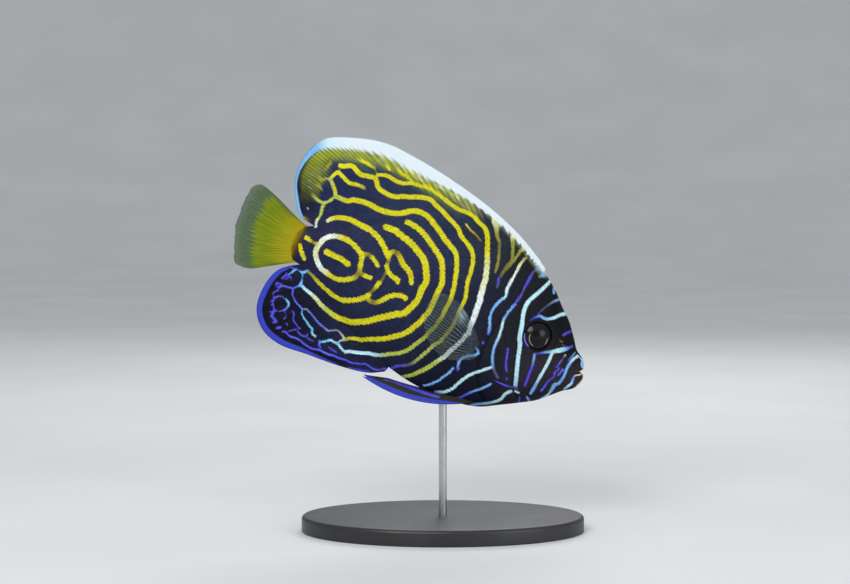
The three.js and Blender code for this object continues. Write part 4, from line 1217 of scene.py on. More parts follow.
def tail_finish():
    """Yellow out to a fringe of fingers along the rays, then clear grey-green."""
    finish = Finish("tail_membrane", Specular_IOR_Level=0.15)
    rays, out = finish.layer("rays"), finish.layer("out")
    outer = out.ramp(0.35, 0.65)
    pair, fan = rays.wave(2), rays.wave(4)
    ray = pair * (1 - outer) + fan * outer
    fine = finish.streaks(11, 2.2)
    broad = finish.streaks(2.5, 1.6)
    ray = (ray * 0.6 + fine * 0.7).ramp(0.3, 1.0)
    yellow = finish.mix(out.ramp(0.1, 0.62), rgba((178, 160, 6)), rgba((106, 130, 8)))
    yellow = finish.mix(out.ramp(0.2, 0.05, 0.0, 0.4), yellow, rgba((150, 110, 10)))
    yellow = finish.mix((1 - ray) * 0.5, yellow, rgba((96, 98, 6)))
    yellow = finish.mix(broad.ramp(0.4, 0.7, 0.0, 0.35), yellow, rgba((160, 164, 10)))
    clear = finish.mix(ray, rgba((64, 84, 60)), rgba((94, 116, 82)))
    clear = finish.mix(broad.ramp(0.35, 0.65, 0.0, 0.5), clear, rgba((74, 96, 62)))
    reach = finish.layer("yellow_reach") + pair * 1.5 + (fine - 0.5) * 2.4 + (broad - 0.5) * 1.6
    edge = reach.ramp(0.0, 1.3)
    finish.feed("Base Color", finish.mix(edge, clear, yellow))
    finish.feed("Alpha", edge * 0.16 + ray * (1 - edge) * 0.16 + out.ramp(1.0, 0.8, 0.5, 0.82))
    finish.feed("Roughness", fine.ramp(0.3, 0.7, 0.4, 0.58))
    finish.bump(ray * 0.7 + finish.noise(5200) * 0.3, 0.45, 0.00012)
    return finish.material


def clear_finish():
    """Clear membrane with grey rays that branch halfway, and a milky haze along the front ray."""
    finish = Finish("clear_membrane", Roughness=0.4, Specular_IOR_Level=0.3)
    rays, out = finish.layer("rays"), finish.layer("out")
    outer = out.ramp(0.45, 0.65)
    ray = rays.wave(1).ramp(0.55, 0.95) * (1 - outer) + rays.wave(2).ramp(0.5, 0.95) * outer
    ray = ray * finish.streaks(2.3, 7).ramp(0.3, 0.6, 0.55, 1.0)
    haze = finish.layer("haze") * finish.streaks(3, 4).ramp(0.3, 0.65)
    colour = finish.mix(out.ramp(0.1, 0.9), rgba((78, 92, 98)), rgba((88, 106, 92)))
    finish.feed("Base Color", finish.mix(haze, colour, rgba((186, 206, 226))))
    solid = ray * out.ramp(1.0, 0.3, 0.3, 0.62) + haze * 0.6 + out.ramp(0.1, 0.0, 0.07, 0.3)
    finish.feed("Alpha", solid)
    finish.bump(ray, 0.3, 0.0001)
    return finish.material


def pelvic_finish():
    """Dark membrane between a deep blue front ray and fainter blue streaks."""
    finish = Finish("pelvic_membrane", Specular_IOR_Level=0.3)
    fine = finish.streaks(4, 6)
    ray = (finish.layer("rays").wave(2) * 0.6 + fine * 0.6).ramp(0.3, 0.9)
    ground = finish.mix(ray, rgba((14, 15, 13)), rgba((50, 46, 22)))
    share = fine.ramp(0.4, 0.7, 0.0, 0.4)
    line = finish.mix(share, finish.layer("line_colour", True), rgba((40, 48, 150)))
    edge = (finish.layer("line_gap") + (fine - 0.5) * 0.4).ramp(0.14, -0.14)
    finish.feed("Base Color", finish.mix(edge, ground, line))
    finish.feed("Roughness", fine.ramp(0.3, 0.7, 0.4, 0.55))
    finish.bump(ray * 0.6 + finish.noise(5000) * 0.4, 0.35, 0.0001)
    return finish.material


def eye_finish():
    """Black pupil in a nearly black iris, with broken pale gold arcs round the pupil."""
    finish = Finish("eye_gloss", Coat_Weight=0.3, Coat_Roughness=0.04, Specular_IOR_Level=0.1)
    away = finish.layer("from_pupil")
    grain = finish.noise(2600, 3.0)
    iris = finish.mix(grain.ramp(0.35, 0.7), rgba((6, 7, 9)), rgba((19, 20, 25)))
    iris = finish.mix(away.ramp(4.0, 3.3), rgba((12, 12, 18)), iris)
    colour = finish.mix(away.ramp(2.72, 2.56), iris, rgba((3, 4, 6)))
    ring = away.ramp(2.6, 2.7) * away.ramp(2.96, 2.84)
    ring = ring * (finish.layer("arc") + (grain - 0.5) * 0.7).ramp(0.3, 0.75)
    finish.feed("Base Color", finish.mix(ring * 0.85, colour, rgba((156, 152, 118))))
    finish.feed("Roughness", grain.ramp(0.3, 0.7, 0.25, 0.4))
    return finish.material


def rim_finish():
    """Dark soft skin round the eye, violet low at the back."""
    finish = Finish("eye_rim", Specular_IOR_Level=0.15)
    grain = finish.noise(2200, 3.0)
    skin = finish.mix(grain.ramp(0.35, 0.7), rgba((6, 6, 8)), rgba((14, 14, 19)))
    violet = (finish.layer("violet") + (grain - 0.5) * 0.4).ramp(0.3, 0.7)
    finish.feed("Base Color", finish.mix(violet, skin, rgba((104, 100, 226))))
    finish.feed("Roughness", grain.ramp(0.3, 0.7, 0.38, 0.52))
    finish.bump(finish.noise(5600), 0.25, 0.00008)
    return finish.material


def spine_finish():
    """Hard dark violet spine, blue towards its point."""
    finish = Finish("spine_blue", Specular_IOR_Level=0.4)
    grain = finish.noise(1500)
    along = finish.layer("out") + (grain - 0.5) * 0.15
    colour = finish.mix(along.ramp(0.35, 0.7), rgba((36, 30, 96)), rgba((66, 64, 204)))
    finish.feed("Base Color", finish.mix(grain.ramp(0.4, 0.7, 0.0, 0.4), colour, rgba((52, 46, 150))))
    finish.feed("Roughness", grain.ramp(0.3, 0.7, 0.3, 0.45))
    finish.bump(finish.noise(5200), 0.2, 0.00006)
    return finish.material


def paint_finish(settings):
    """Satin black paint with a faint orange-peel surface."""
    finish = Finish("satin_paint", Coat_Weight=0.15, Coat_Roughness=0.3)
    grain = finish.noise(1300, 3.0)
    cloud = finish.noise(60)
    base = (*settings.base_colour, 1.0)
    lighter = tuple(min(1, 1.6 * part + 0.004) for part in settings.base_colour) + (1.0,)
    finish.feed("Base Color", finish.mix(cloud.ramp(0.35, 0.7, 0.0, 0.5), base, lighter))
    finish.feed("Roughness", cloud.ramp(0.3, 0.7, 0.36, 0.5))
    finish.bump(grain, 0.12, 0.00008)
    return finish.material


def steel_finish():
    """Drawn steel with fine lines along the rod."""
    finish = Finish("satin_steel", Metallic=1.0)
    drawn = finish.node("ShaderNodeTexNoise", {"Vector": finish.node("ShaderNodeMapping", {
        "Vector": finish.place(), "Scale": (1, 1, 0.03)}), "Scale": 9000.0, "Detail": 2.0})
    colour = finish.mix(drawn.ramp(0.3, 0.7), rgba((178, 181, 184)), rgba((200, 202, 204)))
    finish.feed("Base Color", colour)
    finish.feed("Roughness", drawn.ramp(0.3, 0.7, 0.24, 0.38))
    finish.bump(drawn, 0.04, 0.00002)
    return finish.material


# Settings

class AngelfishSettings(bpy.types.PropertyGroup):
    """Sizes of the scales and of the tail fin's rays"""
    scale_pitch: bpy.props.FloatProperty(
        name="Scale pitch", description="Distance from one body scale to the next", default=0.00068,
        min=0.0005, max=0.003, precision=5, unit="LENGTH")
    head_scale_pitch: bpy.props.FloatProperty(
        name="Head scale pitch", description="Distance from one head scale to the next", default=0.00047,
        min=0.0004, max=0.003, precision=5, unit="LENGTH")
    scale_lift: bpy.props.FloatProperty(
        name="Scale lift", description="Height of a scale's free edge over the skin", default=0.00008,
        min=0.0, max=0.001, precision=5, unit="LENGTH")
    ray_height: bpy.props.FloatProperty(
        name="Tail ray height", description="Height of the tail fin's rays over its membrane",
        default=0.00014, min=0.0, max=0.001, precision=5, unit="LENGTH")


class AngelfishStandSettings(bpy.types.PropertyGroup):
    """Looks of the stand"""
    base_colour: bpy.props.FloatVectorProperty(
        name="Base paint", description="Colour of the base", default=(0.012, 0.012, 0.014), size=3,
        min=0.0, max=1.0, subtype="COLOR")


class AngelfishStageSettings(bpy.types.PropertyGroup):
    """The camera and the lights"""
    lens: bpy.props.FloatProperty(
        name="Lens", description="Focal length of the camera, in millimetres",
        default=85.0, min=30.0, max=200.0)
    height: bpy.props.FloatProperty(
        name="Camera angle", description="How far above level the camera looks down from",
        default=math.radians(3.0), subtype="ANGLE")
    light: bpy.props.FloatProperty(
        name="Light", description="Strength of the main soft light", default=1.55, min=0.0, unit="POWER")


# Pieces

FLESH_NODES = [
    "head", "upper_jaw", "lower_jaw", "torso", "tail_root", "gill_cover_right", "gill_cover_left",
    "dorsal_fin_spiny", "dorsal_fin_soft", "anal_fin",
]


def half_skin(side):
    """The three sheets of one side of the skin; side is -1 on the right and 1 on the left."""
    sheets = []
    for name, places, flat, guide in (
            ("body", FLANK.body, FLANK.body_flat, FLANK.body_guide),
            ("back", FLANK.back, FLANK.back_flat, FLANK.back_guide),
            ("anal", FLANK.anal, FLANK.anal_flat, FLANK.anal_guide)):
        moved = to_stand(places[..., 0], side * places[..., 1], places[..., 2])
        flat = flat + (0, BAKE_LEFT if side > 0 else 0)
        sheets.append(sheet_of(name, moved, flat, [("rays", guide[..., 0]), ("out", guide[..., 1])]))
    return sheets


class ANGELFISH_OT_skin(bpy.types.Operator):
    """Make the skin of body, head, back fin and anal fin in one piece"""
    bl_idname = "angelfish.skin"
    bl_label = "Skin"

    def execute(self, context):
        skin = joined("skin", half_skin(-1) + half_skin(1))
        paint(skin, MARKINGS, flank_ground, fin_streaks)
        ride(skin, "body_skin", skin_finish("painted_skin", False), *FLESH_NODES)
        return {"FINISHED"}


def spread_rows(sheet, pitch):
    """Rows and columns for scales on a sheet: up its columns, each column half a step off the last."""
    rows, columns = sheet.shape[:2]
    ahead = distances(sheet[rows // 2])
    found = []
    for k, at in enumerate(np.arange(0.3, ahead[-1] - 0.2, pitch * 0.86)):
        column = float(np.interp(at, ahead, np.arange(columns)))
        i = min(int(column), columns - 2)
        strip = sheet[:, i] * (i + 1 - column) + sheet[:, i + 1] * (column - i)
        up = distances(strip)
        far = np.arange(pitch * (0.5 + 0.5 * (k % 2)), up[-1], pitch)
        row = np.interp(far, up, np.arange(rows))
        found.append(np.stack([row, np.full_like(row, column)], -1))
    return np.concatenate(found)


def sampled(sheet, rows, columns):
    """A sheet's values at places between its rows and columns."""
    i = np.clip(rows.astype(int), 0, sheet.shape[0] - 2)
    j = np.clip(columns.astype(int), 0, sheet.shape[1] - 2)
    return between(sheet, i, j, (rows - i)[:, None], (columns - j)[:, None])


# One scale: back along the fish, across it, and its height; the first eight points are its rim
SCALE_SHAPE = np.array([
    (-0.45, 0.0, -0.9), (0.0, -0.5, -0.15), (0.5, -0.54, 0.5), (0.86, -0.32, 0.85), (0.98, 0.0, 1.0),
    (0.86, 0.32, 0.85), (0.5, 0.54, 0.5), (0.0, 0.5, -0.15), (0.4, 0.0, 0.95), (0.4, 0.0, -1.2),
])
SCALE_RIM = 8
SCALE_PATCH = 0.003
SCALE_PULL = 0.5
SCALE_SEED = 7
# A scale's length and width in steps of the pitch, and the spread of its swing in radians
SCALE_LENGTH = 1.3
SCALE_WIDTH = 1.16
SCALE_SWING = 0.06


def scale_faces():
    """The triangles of one scale, its upper side and its lower side."""
    rim = [(k, (k + 1) % SCALE_RIM) for k in range(SCALE_RIM)]
    return np.array([(a, b, SCALE_RIM) for a, b in rim] + [(b, a, SCALE_RIM + 1) for a, b in rim])


def free_of_features(x, z):
    """Places with room for a scale, away from the eye, mouth and nostrils."""
    free = (np.hypot(x - EYE[0], z - EYE[1]) > EYE_RADIUS + 0.9) & (x < 49.4)
    free &= np.abs(beside(x, z, MOUTH_LINE)) > 1.2
    for px, pz, radius in NOSTRILS:
        free &= np.hypot(x - px, z - pz) > radius + 0.45
    return free


def behind_gill(x, z):
    """Places behind the gill cover's edge, carried up to the nape and down to the throat."""
    return beside(x, z, [(28, 27)] + GILL_EDGE + [(33, -26)]) < 0


def on_body(x, z, row):
    """The part of the body's sheet under the body's own scales."""
    return behind_gill(x, z)


def on_head(x, z, row):
    """The part of the body's sheet under the head's smaller scales."""
    return ~behind_gill(x, z)


def on_back_fin(x, z, row):
    """The inner part of the back fin, less of it towards the rear, and never its pale edge."""
    return (row < 0.6 - 0.12 * smooth(x, 0, -36)) & (from_back_edge(x, z) > 2.1)


def on_anal_fin(x, z, row):
    """The inner half of the anal fin."""
    return row < 0.5


def laid(chance, which, pitch, lift, keep):
    """Scales on one sheet of the skin: their points, and the flat place and fin guide of each."""
    sheet, flat, guide = (getattr(FLANK, which + end) for end in ("", "_flat", "_guide"))
    last_row, last_column = sheet.shape[0] - 1, sheet.shape[1] - 1
    rows, columns = spread_rows(sheet, pitch).T
    rows = rows + chance.normal(0, 0.05, len(rows))
    x, _, z = sampled(sheet, rows, columns).T
    row, column = rows / last_row, columns / last_column
    kept = (row > 0.012) & (row < 0.988) & (column > 0.02) & (column < 0.985)
    kept &= free_of_features(x, z) & keep(x, z, row)
    rows, columns = rows[kept], columns[kept]
    count = len(rows)

    # The ways back and across over the sheet, and how far one column and one row are
    back = sampled(sheet, rows, columns - 0.8) - sampled(sheet, rows, columns + 0.8)
    across = sampled(sheet, rows + 0.8, columns) - sampled(sheet, rows - 0.8, columns)
    column_step, row_step = (np.linalg.norm(way, axis=-1).clip(0.05) / 1.6 for way in (back, across))
    out = unit(np.cross(across, back))
    out = out * np.where(out[:, 1:2] < 0, -1, 1)
    turn = np.sign((across * np.cross(back, out)).sum(-1))

    # Each scale has its own size, swing and height
    along, aside, up = SCALE_SHAPE.T
    length, width = SCALE_LENGTH * along, SCALE_WIDTH * aside
    size = pitch * chance.uniform(0.94, 1.1, count)[:, None]
    swing = chance.normal(0, SCALE_SWING, count)[:, None]
    behind = size * (length * np.cos(swing) - width * np.sin(swing))
    sideways = size * (length * np.sin(swing) + width * np.cos(swing))
    at_row = rows[:, None] + sideways * (turn / row_step)[:, None]
    at_column = columns[:, None] - behind / column_step[:, None]
    at_row, at_column = at_row.clip(0, last_row), at_column.clip(0, last_column)
    height = lift * chance.uniform(0.7, 1.25, count)
    points = sampled(sheet, at_row.reshape(-1), at_column.reshape(-1)).reshape(count, -1, 3)
    points = points + out[:, None] * (height[:, None] * up + 0.015)[..., None]
    return points, sampled(flat, rows, columns), sampled(guide, rows, columns)


def coat(name, side, points, flat, guide, tone):
    """One side's scales as one piece, each scale with its own tone and its own patch of the map."""
    count, each = points.shape[:2]
    along, aside, _ = SCALE_SHAPE.T
    faces = (scale_faces()[None] + (np.arange(count) * each)[:, None, None]).reshape(-1, 3)
    facing = faces if side > 0 else faces[:, ::-1]
    moved = to_stand(points[..., 0], side * points[..., 1], points[..., 2]).reshape(-1, 3)
    mesh = bpy.data.meshes.new(name)
    mesh.from_pydata(moved.tolist(), [], facing.tolist())
    obj = bpy.data.objects.new(name, mesh)
    bpy.context.collection.objects.link(obj)
    patch = np.stack([along - 0.3, aside], -1) * SCALE_PATCH / 1.4
    uv = (flat[:, None] + patch[None] + (0, BAKE_LEFT if side > 0 else 0)).reshape(-1, 2)
    set_bake_map(mesh, uv[facing.reshape(-1)])
    for layer, values in (("tone", tone), ("rays", guide[:, 0]), ("out", guide[:, 1])):
        set_layer(obj, layer, np.repeat(values, each))
    set_layer(obj, "tip", np.tile(np.clip(along, 0, 1), count))
    # Each point is coloured as if it were nearer to its scale's middle, so a scale is more of one colour
    middle = points[:, SCALE_RIM:SCALE_RIM + 1]
    seen_at = (points + SCALE_PULL * (middle - points))[..., ::2].reshape(-1, 2).T
    paint(obj, MARKINGS, flank_ground, fin_streaks, seen_at)
    mesh.polygons.foreach_set("use_smooth", np.ones(len(mesh.polygons), bool))
    ends = np.empty(len(mesh.edges) * 2, np.int32)
    mesh.edges.foreach_get("vertices", ends)
    sharp = (ends.reshape(-1, 2) % each < SCALE_RIM).all(-1)
    mesh.attributes.new("sharp_edge", "BOOLEAN", "EDGE").data.foreach_set("value", sharp)
    return obj


class ANGELFISH_OT_scales(bpy.types.Operator):
    """Lay the scales over both sides of the skin"""
    bl_idname = "angelfish.scales"
    bl_label = "Scales"

    def execute(self, context):
        settings = context.scene.angelfish
        pitch, lift = settings.scale_pitch / MM, settings.scale_lift / MM
        fin_pitch, fin_lift = 0.82 * pitch, 0.75 * lift
        coats = {
            "body": [("body", pitch, lift, on_body)],
            "head": [("body", settings.head_scale_pitch / MM, 0.5 * lift, on_head)],
            "fins": [("back", fin_pitch, fin_lift, on_back_fin),
                     ("anal", fin_pitch, fin_lift, on_anal_fin)],
        }
        material = skin_finish("painted_scales", True)
        for seed, (name, sheets) in enumerate(coats.items(), SCALE_SEED):
            chance = np.random.default_rng(seed)
            parts = [laid(chance, *sheet) for sheet in sheets]
            points, flat, guide = (np.concatenate(part) for part in zip(*parts))
            tone = chance.uniform(0, 1, len(points))
            for side, end in SIDES:
                obj = coat(f"{name}_scales_{end}", side, points, flat, guide, tone)
                ride(obj, "head_skin" if name == "head" else "body_skin", material)
        return {"FINISHED"}


class ANGELFISH_OT_tail_fin(bpy.types.Operator):
    """Make the tail fin with its branching rays"""
    bl_idname = "angelfish.tail_fin"
    bl_label = "Tail fin"

    def execute(self, context):
        ridge = context.scene.angelfish.ray_height / MM
        rays = TAIL_FIN["rays"]
        u = np.linspace(0, 1, rays * TAIL_FIN["per_ray"] + 1)
        v = np.linspace(0, 1, TAIL_FIN["rows"])[:, None]
        v = 0.8 * v + 0.2 * np.sin(v * math.pi / 2)
        back, belly = body_lines(np.zeros(1))
        middle, half_height = (back + belly) / 2, (back - belly) / 2
        root = middle + half_height * (0.93 * (1 - 2 * u))[:, None] + (1.6, 0)
        # The edge is ragged, with a small point for each branch of a ray
        edge = through(TAIL_EDGE, u)
        ragged = 0.12 * ray_crest(u * rays) + 0.14 * ray_crest(u * rays * 4)
        ragged = ragged * smooth(u, 0, 0.06) * smooth(u, 1, 0.94) + 0.2 * np.sin(u * 37) * np.sin(u * 15)
        edge = edge + unit(edge - root) * (ragged - 0.25)[:, None]
        places = root[None] + (edge - root)[None] * v[..., None]
        x, z = places[..., 0], places[..., 1]
        # Each ray branches in two and then in four
        one, two, four = (ray_crest(u * rays * times) for times in (1, 2, 4))
        inner, outer = smooth(v, 0.28, 0.42), smooth(v, 0.6, 0.76)
        crest = one * (1 - inner) + two * inner * (1 - outer) + 0.8 * four * outer
        raised = ridge * crest * (1 - 0.45 * v) * smooth(v, 0.05, 0.2)
        # The root is oval, and the rest is flat with round sides
        oval = rounded(1 - (0.99 * (1 - 2 * u)) ** 2)
        sides = oval + (rounded(both_ends(u), 0.015) - oval) * smooth(v, 0.1, 0.4)
        half = (TAIL_FIN["half"] - TAIL_FIN["thinner"] * v**0.6 + raised) * sides * rounded(1 - v, 0.03)
        reach = beside_curve(x, z, TAIL_YELLOW, 140)
        sway = 0.25 * np.sin(u * 7) * v**2
        layers = [("rays", u * rays), ("yellow_reach", reach), ("out", v)]
        tail = two_faced("tail_fin_skin", u, v, x, z, sway, half, layers)
        ride(tail, "tail_fin", tail_finish(), "tail_fin")
        return {"FINISHED"}


def leaf(name, side, fin, root, edge, bow, middle):
    """A thin fin on one flank; bow bends its rays and middle gives how far out it stands."""
    u = np.linspace(0, 1, fin["rays"] * fin["per_ray"] + 1)
    v = np.linspace(0, 1, fin["rows"])[:, None]
    rays = u * fin["rays"]
    root, edge = through(root, u)[None], through(edge, u)[None]
    places = fin_places(root, edge, bow(u)[None, :, None], v[..., None])
    half = fin_half(fin, v) + fin["ridge"] * ray_crest(rays) * (1 - 0.5 * v)
    half = half * rounded(both_ends(u), 0.03) * rounded(1 - v, 0.05)
    layers = [("rays", rays), ("out", v)]
    return two_faced(name, u, v, places[..., 0], places[..., 1], middle(u, v), half, layers, side)


class ANGELFISH_OT_pectoral_fins(bpy.types.Operator):
    """Make the clear fins laid back over the flanks"""
    bl_idname = "angelfish.pectoral_fins"
    bl_label = "Pectoral fins"

    def execute(self, context):
        material = clear_finish()
        start = np.mean([FLANK.half_at(*place) for place in PECTORAL_ROOT])

        def middle(u, v):
            return start + (smooth(v, 0, 0.2) - 0.35) + 0.9 * v + 0.1 * np.sin(u * 9) * v

        for side, name in SIDES:
            fin = leaf(f"pectoral_fin_{name}_skin", side, PECTORAL_FIN, PECTORAL_ROOT, PECTORAL_EDGE,
                       lambda u: -0.04 * (1 - u) ** 2, middle)
            x, z = side_view(places_of(fin))
            set_layer(fin, "haze", 0.85 * spot(x, z, (10.9, 0.4), (1.6, 2.3)))
            ride(fin, "clear_fin", material, f"pectoral_fin_{name}")
        return {"FINISHED"}


class ANGELFISH_OT_pelvic_fins(bpy.types.Operator):
    """Make the slim fins folded back under the belly"""
    bl_idname = "angelfish.pelvic_fins"
    bl_label = "Pelvic fins"

    def execute(self, context):
        material = pelvic_finish()
        lines = Painting(PELVIC_LINES)
        for side, name in SIDES:
            fin = leaf(f"pelvic_fin_{name}_skin", side, PELVIC_FIN, PELVIC_ROOT, PELVIC_EDGE,
                       lambda u: 0.105 + (0.02 - 0.105) * u, lambda u, v: 1.8 + 1.6 * np.sqrt(v))
            paint(fin, lines, flank_ground)
            ride(fin, "belly_fin", material, f"pelvic_fin_{name}")
        return {"FINISHED"}


def plain_half_at(x, z):
    """Half the body's width, without the relief, at a place seen from the side."""
    back, belly = body_lines(FLANK.t)
    column = np.abs((back + belly)[:, 0] / 2 - x).argmin()
    top, low = back[column], belly[column]
    reach = np.linalg.norm(top - low) / 2
    s = (z - (top + low)[1] / 2) / reach
    return float(body_half_width(FLANK.t[column]) * fullness(s))


def seat_of_eye():
    """Where an eye sits: its middle on the skin and its forward, upward and outward ways."""
    x, z = EYE
    rise_x = (plain_half_at(x + 2, z) - plain_half_at(x - 2, z)) / 4
    rise_z = (plain_half_at(x, z + 2) - plain_half_at(x, z - 2)) / 4
    out = unit(np.array([-rise_x, 1.0, -rise_z]))
    forward = unit(np.cross(out, (0, 0, 1.0)))
    up = unit(np.cross(forward, out))
    return np.array([x, plain_half_at(x, z), z]), forward, up, out


def set_in_socket(obj, seat, side):
    """Moves a piece turned in millimetres to its place in the head; gives its points along the fish."""
    middle, forward, up, out = seat
    local = places_of(obj)
    seated = middle + local[:, 0:1] * forward + local[:, 1:2] * up + local[:, 2:3] * out
    set_places(obj, to_stand(seated[:, 0], side * seated[:, 1], seated[:, 2]))
    in_edit_mode()
    return seated


def around(points, middle):
    """How far points are from a middle, seen from the side, and at what angle in degrees."""
    x, _, z = (points - (middle[0], 0, middle[1])).T
    return np.hypot(x, z), np.degrees(np.arctan2(z, x)) % 360


class ANGELFISH_OT_eyes(bpy.types.Operator):
    """Make the eyes and the soft rims around them"""
    bl_idname = "angelfish.eyes"
    bl_label = "Eyes"

    def execute(self, context):
        gloss, skin = eye_finish(), rim_finish()
        radius, bulge, sink = EYE_RADIUS - 0.1, 1.15, 0.5
        curve = (radius**2 + (bulge + sink) ** 2) / (2 * (bulge + sink))
        away = radius * np.sin(np.linspace(0, 1, 22) * math.pi / 2)
        dome = [(float(a), float(math.sqrt(curve**2 - a**2) - curve + bulge)) for a in away]
        dome += [(radius * 0.97, -sink - 0.5), (radius * 0.6, -sink - 1.2), (0.0, -sink - 1.3)]
        turn = np.linspace(0, 2 * math.pi, 13)
        rim = [(EYE_RADIUS + 0.16 + 0.4 * math.cos(a), -0.08 + 0.26 * math.sin(a)) for a in turn]
        rim[-1] = rim[0]
        seat = seat_of_eye()
        for side, name in SIDES:
            eye = spun(f"eye_{name}_gloss", dome, 72)
            from_pupil, angle = around(set_in_socket(eye, seat, side), PUPIL)
            set_layer(eye, "from_pupil", from_pupil)
            low = smooth(np.abs(angle - 218), 52, 34)
            front = smooth(np.abs((angle + 180) % 360 - 185), 26, 14)
            set_layer(eye, "arc", np.maximum(low, front))
            ride(eye, "eye", gloss, f"eye_{name}")
            ring = spun(f"eye_{name}_rim", rim, 72)
            from_eye, angle = around(set_in_socket(ring, seat, side), EYE)
            inner = smooth(from_eye, EYE_RADIUS + 0.22, EYE_RADIUS + 0.02)
            set_layer(ring, "violet", smooth(np.abs(angle - 222), 33, 24) * inner)
            ride(ring, "head_skin", skin)
        return {"FINISHED"}


class ANGELFISH_OT_cheek_spines(bpy.types.Operator):
    """Make the strong spines that point back from the cheeks"""
    bl_idname = "angelfish.cheek_spines"
    bl_label = "Cheek spines"

    def execute(self, context):
        material = spine_finish()
        along = np.linspace(0, 1, 30)
        line = through(CHEEK_SPINE, along)
        turn = np.linspace(0, 2 * math.pi, 15)[:, None]
        radius = 0.62 * (1 - along) ** 0.55 * smooth(along, -0.1, 0.12)
        out = np.array([FLANK.half_at(*place) for place in line])
        out = np.convolve(np.pad(out, 3, "edge"), np.ones(7) / 7, "valid")
        out = out + 0.18 + 0.3 * along - 0.6 * smooth(along, 0.3, 0.0)
        y = out + 0.7 * radius * np.cos(turn)
        z = line[:, 1] + radius * np.sin(turn)
        for side, name in SIDES:
            sheet = sheet_of("spine", to_stand(line[:, 0], side * y, z), None, [("out", along)])
            spine = joined(f"cheek_spine_{name}_blue", [sheet])
            in_edit_mode(lambda: bpy.ops.mesh.fill_holes(sides=0))
            ride(spine, "cheek_spine", material, f"cheek_spine_{name}")
        return {"FINISHED"}


class ANGELFISH_OT_stand(bpy.types.Operator):
    """Make the display stand's oval base and its rod"""
    bl_idname = "angelfish.stand"
    bl_label = "Stand"

    def execute(self, context):
        thick, rim, lower_rim = BASE["height"], BASE["rim"], BASE["lower_rim"]
        middle_radius = (BASE["length"] + BASE["width"]) / 4
        stretch = (BASE["length"] - BASE["width"]) / 4
        turn = np.linspace(0, math.pi / 2, 9)
        profile = [(0.0, thick), (middle_radius * 0.5, thick)]
        profile += [(middle_radius - rim * (1 - math.sin(a)), thick - rim * (1 - math.cos(a)))
                    for a in turn]
        profile += [(middle_radius - lower_rim * (1 - math.cos(a)), lower_rim * (1 - math.sin(a)))
                    for a in turn]
        base = spun("stand_base_painted", profile + [(0.0, 0.0)], 160)
        x, y, z = places_of(base).T
        away = np.hypot(x, y).clip(1e-6)
        wider = stretch * smooth(away, 0, middle_radius * 0.8)
        self.put(base, x + x / away * wider, y - y / away * wider, z)
        ride(base, "stand_base", paint_finish(context.scene.angelfish_stand), "stand_base")
        solid = bpy.data.objects["stand_rod"]
        top = max((solid.matrix_world @ Vector(corner)).z for corner in solid.bound_box) / MM
        low = thick / 2
        rod = spun("stand_rod_steel", [(0.0, low), (ROD_RADIUS, low), (ROD_RADIUS, top), (0.0, top)], 48)
        self.put(rod, *places_of(rod).T)
        ride(rod, "stand_rod", steel_finish(), "stand_rod")
        return {"FINISHED"}

    @staticmethod
    def put(obj, x, y, z):
        """Sets a piece turned in millimetres over the middle of the stand."""
        set_places(obj, np.stack([x + STAND_CENTRE, y, z], -1) * MM)
        obj.data.shade_smooth()
        bpy.ops.object.shade_smooth_by_angle(angle=math.radians(40))


# The stage: the point looked at and the width seen, in metres, and the sensor in millimetres
LOOKED_AT = (0.00485, 0, 0.07448)
SEEN_WIDTH = 0.2635
SENSOR_WIDTH = 36


def soft_light(name, place, target, size, power, colour):
    """A round soft light that faces the target."""
    light = bpy.data.lights.new(name, "AREA")
    light.shape = "DISK"
    light.size = size
    light.energy = power
    light.color = colour
    obj = bpy.data.objects.new(name, light)
    bpy.context.collection.objects.link(obj)
    obj.location = place
    obj.rotation_euler = (Vector(target) - Vector(place)).to_track_quat("-Z", "Y").to_euler()
    return obj


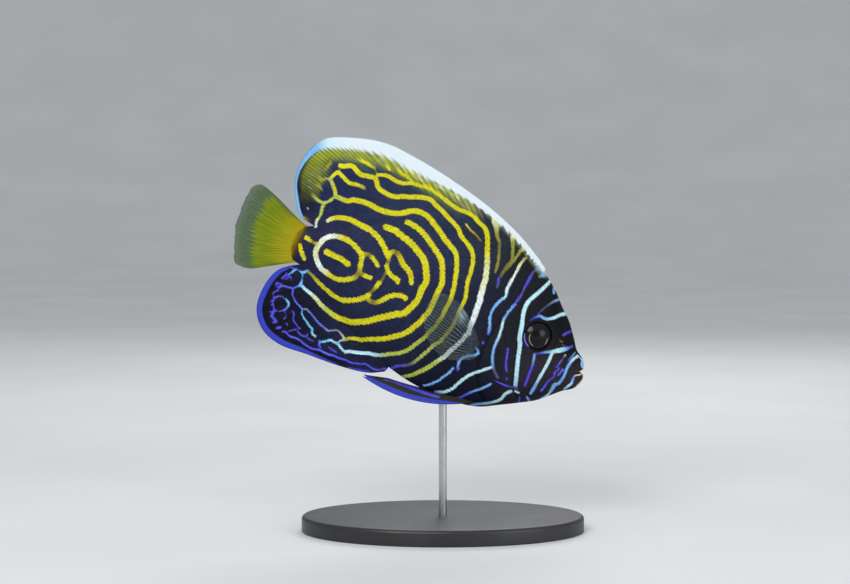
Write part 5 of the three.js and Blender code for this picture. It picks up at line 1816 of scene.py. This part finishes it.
class ANGELFISH_OT_stage(bpy.types.Operator):
    """Set the floor, the lights and the camera"""
    bl_idname = "angelfish.stage"
    bl_label = "Stage"

    def execute(self, context):
        settings = context.scene.angelfish_stage
        # The floor curves up into a wall all round, so that no edge of it shows
        bend = np.linspace(0, math.pi / 2, 25)
        profile = [(0.0, 0.0), (0.5, 0.0)]
        profile += [(1.6 + 1.4 * math.sin(a), 1.4 - 1.4 * math.cos(a)) for a in bend]
        floor = spun("floor", profile + [(3.0, 1.8)], 128)
        pale = Finish("pale_floor", Roughness=0.75, Specular_IOR_Level=0.2)
        cloud = pale.noise(9)
        colour = pale.mix(cloud.ramp(0.3, 0.7), (0.74, 0.75, 0.76, 1), (0.78, 0.79, 0.8, 1))
        pale.feed("Base Color", colour)
        floor.data.materials.append(pale.material)
        target = Vector(LOOKED_AT)
        soft_light("key", (-0.25, -0.6, 0.5), target, 0.4, settings.light * 2.0, (1.0, 0.99, 0.97))
        soft_light("fill", (0.55, -0.5, 0.2), target, 0.4, settings.light * 0.9, (0.96, 0.98, 1.0))
        soft_light("rim", (0.1, 0.55, 0.5), target, 0.4, settings.light * 0.9, (1.0, 1.0, 1.0))
        world = bpy.context.scene.world or bpy.data.worlds.new("studio")
        bpy.context.scene.world = world
        world.use_nodes = True
        background = next(n for n in world.node_tree.nodes if n.type == "BACKGROUND")
        background.inputs["Color"].default_value = (0.86, 0.88, 0.9, 1)
        background.inputs["Strength"].default_value = 0.62
        camera = bpy.data.cameras.new("camera")
        camera.lens = settings.lens
        camera.sensor_width = SENSOR_WIDTH
        distance = SEEN_WIDTH * settings.lens / SENSOR_WIDTH
        obj = bpy.data.objects.new("camera", camera)
        bpy.context.collection.objects.link(obj)
        way = Vector((0, -math.cos(settings.height), math.sin(settings.height)))
        obj.location = target + way * distance
        obj.rotation_euler = (-way).to_track_quat("-Z", "Y").to_euler()
        context.scene.camera = obj
        context.scene.view_settings.view_transform = "Standard"
        context.scene.view_settings.look = "None"
        return {"FINISHED"}


class ANGELFISH_PT_panel(bpy.types.Panel):
    """Lists the settings and the steps that dress the model"""
    bl_idname = "ANGELFISH_PT_panel"
    bl_label = "Angelfish"
    bl_space_type = "VIEW_3D"
    bl_region_type = "UI"
    bl_category = "Angelfish"

    def draw(self, context):
        """Draws the settings and a button for each step."""
        scene = context.scene
        for group in (scene.angelfish, scene.angelfish_stand, scene.angelfish_stage):
            for name in group.__annotations__:
                self.layout.prop(group, name)
        for step in STEPS:
            self.layout.operator(step.bl_idname)


STEPS = (
    ANGELFISH_OT_skin, ANGELFISH_OT_scales, ANGELFISH_OT_tail_fin, ANGELFISH_OT_pectoral_fins,
    ANGELFISH_OT_pelvic_fins, ANGELFISH_OT_eyes, ANGELFISH_OT_cheek_spines, ANGELFISH_OT_stand,
    ANGELFISH_OT_stage,
)
CLASSES = (AngelfishSettings, AngelfishStandSettings, AngelfishStageSettings, ANGELFISH_PT_panel) + STEPS


def register():
    """Adds the settings, the steps and the panel to Blender."""
    for cls in CLASSES:
        bpy.utils.register_class(cls)
    bpy.types.Scene.angelfish = bpy.props.PointerProperty(type=AngelfishSettings)
    bpy.types.Scene.angelfish_stand = bpy.props.PointerProperty(type=AngelfishStandSettings)
    bpy.types.Scene.angelfish_stage = bpy.props.PointerProperty(type=AngelfishStageSettings)


def unregister():
    """Takes them out again."""
    del bpy.types.Scene.angelfish_stage
    del bpy.types.Scene.angelfish_stand
    del bpy.types.Scene.angelfish
    for cls in reversed(CLASSES):
        bpy.utils.unregister_class(cls)


def main():
    """Builds the whole model, step by step."""
    register()
    for step in STEPS:
        getattr(bpy.ops.angelfish, step.bl_idname.split(".")[1])()


if __name__ == "__main__":
    main()
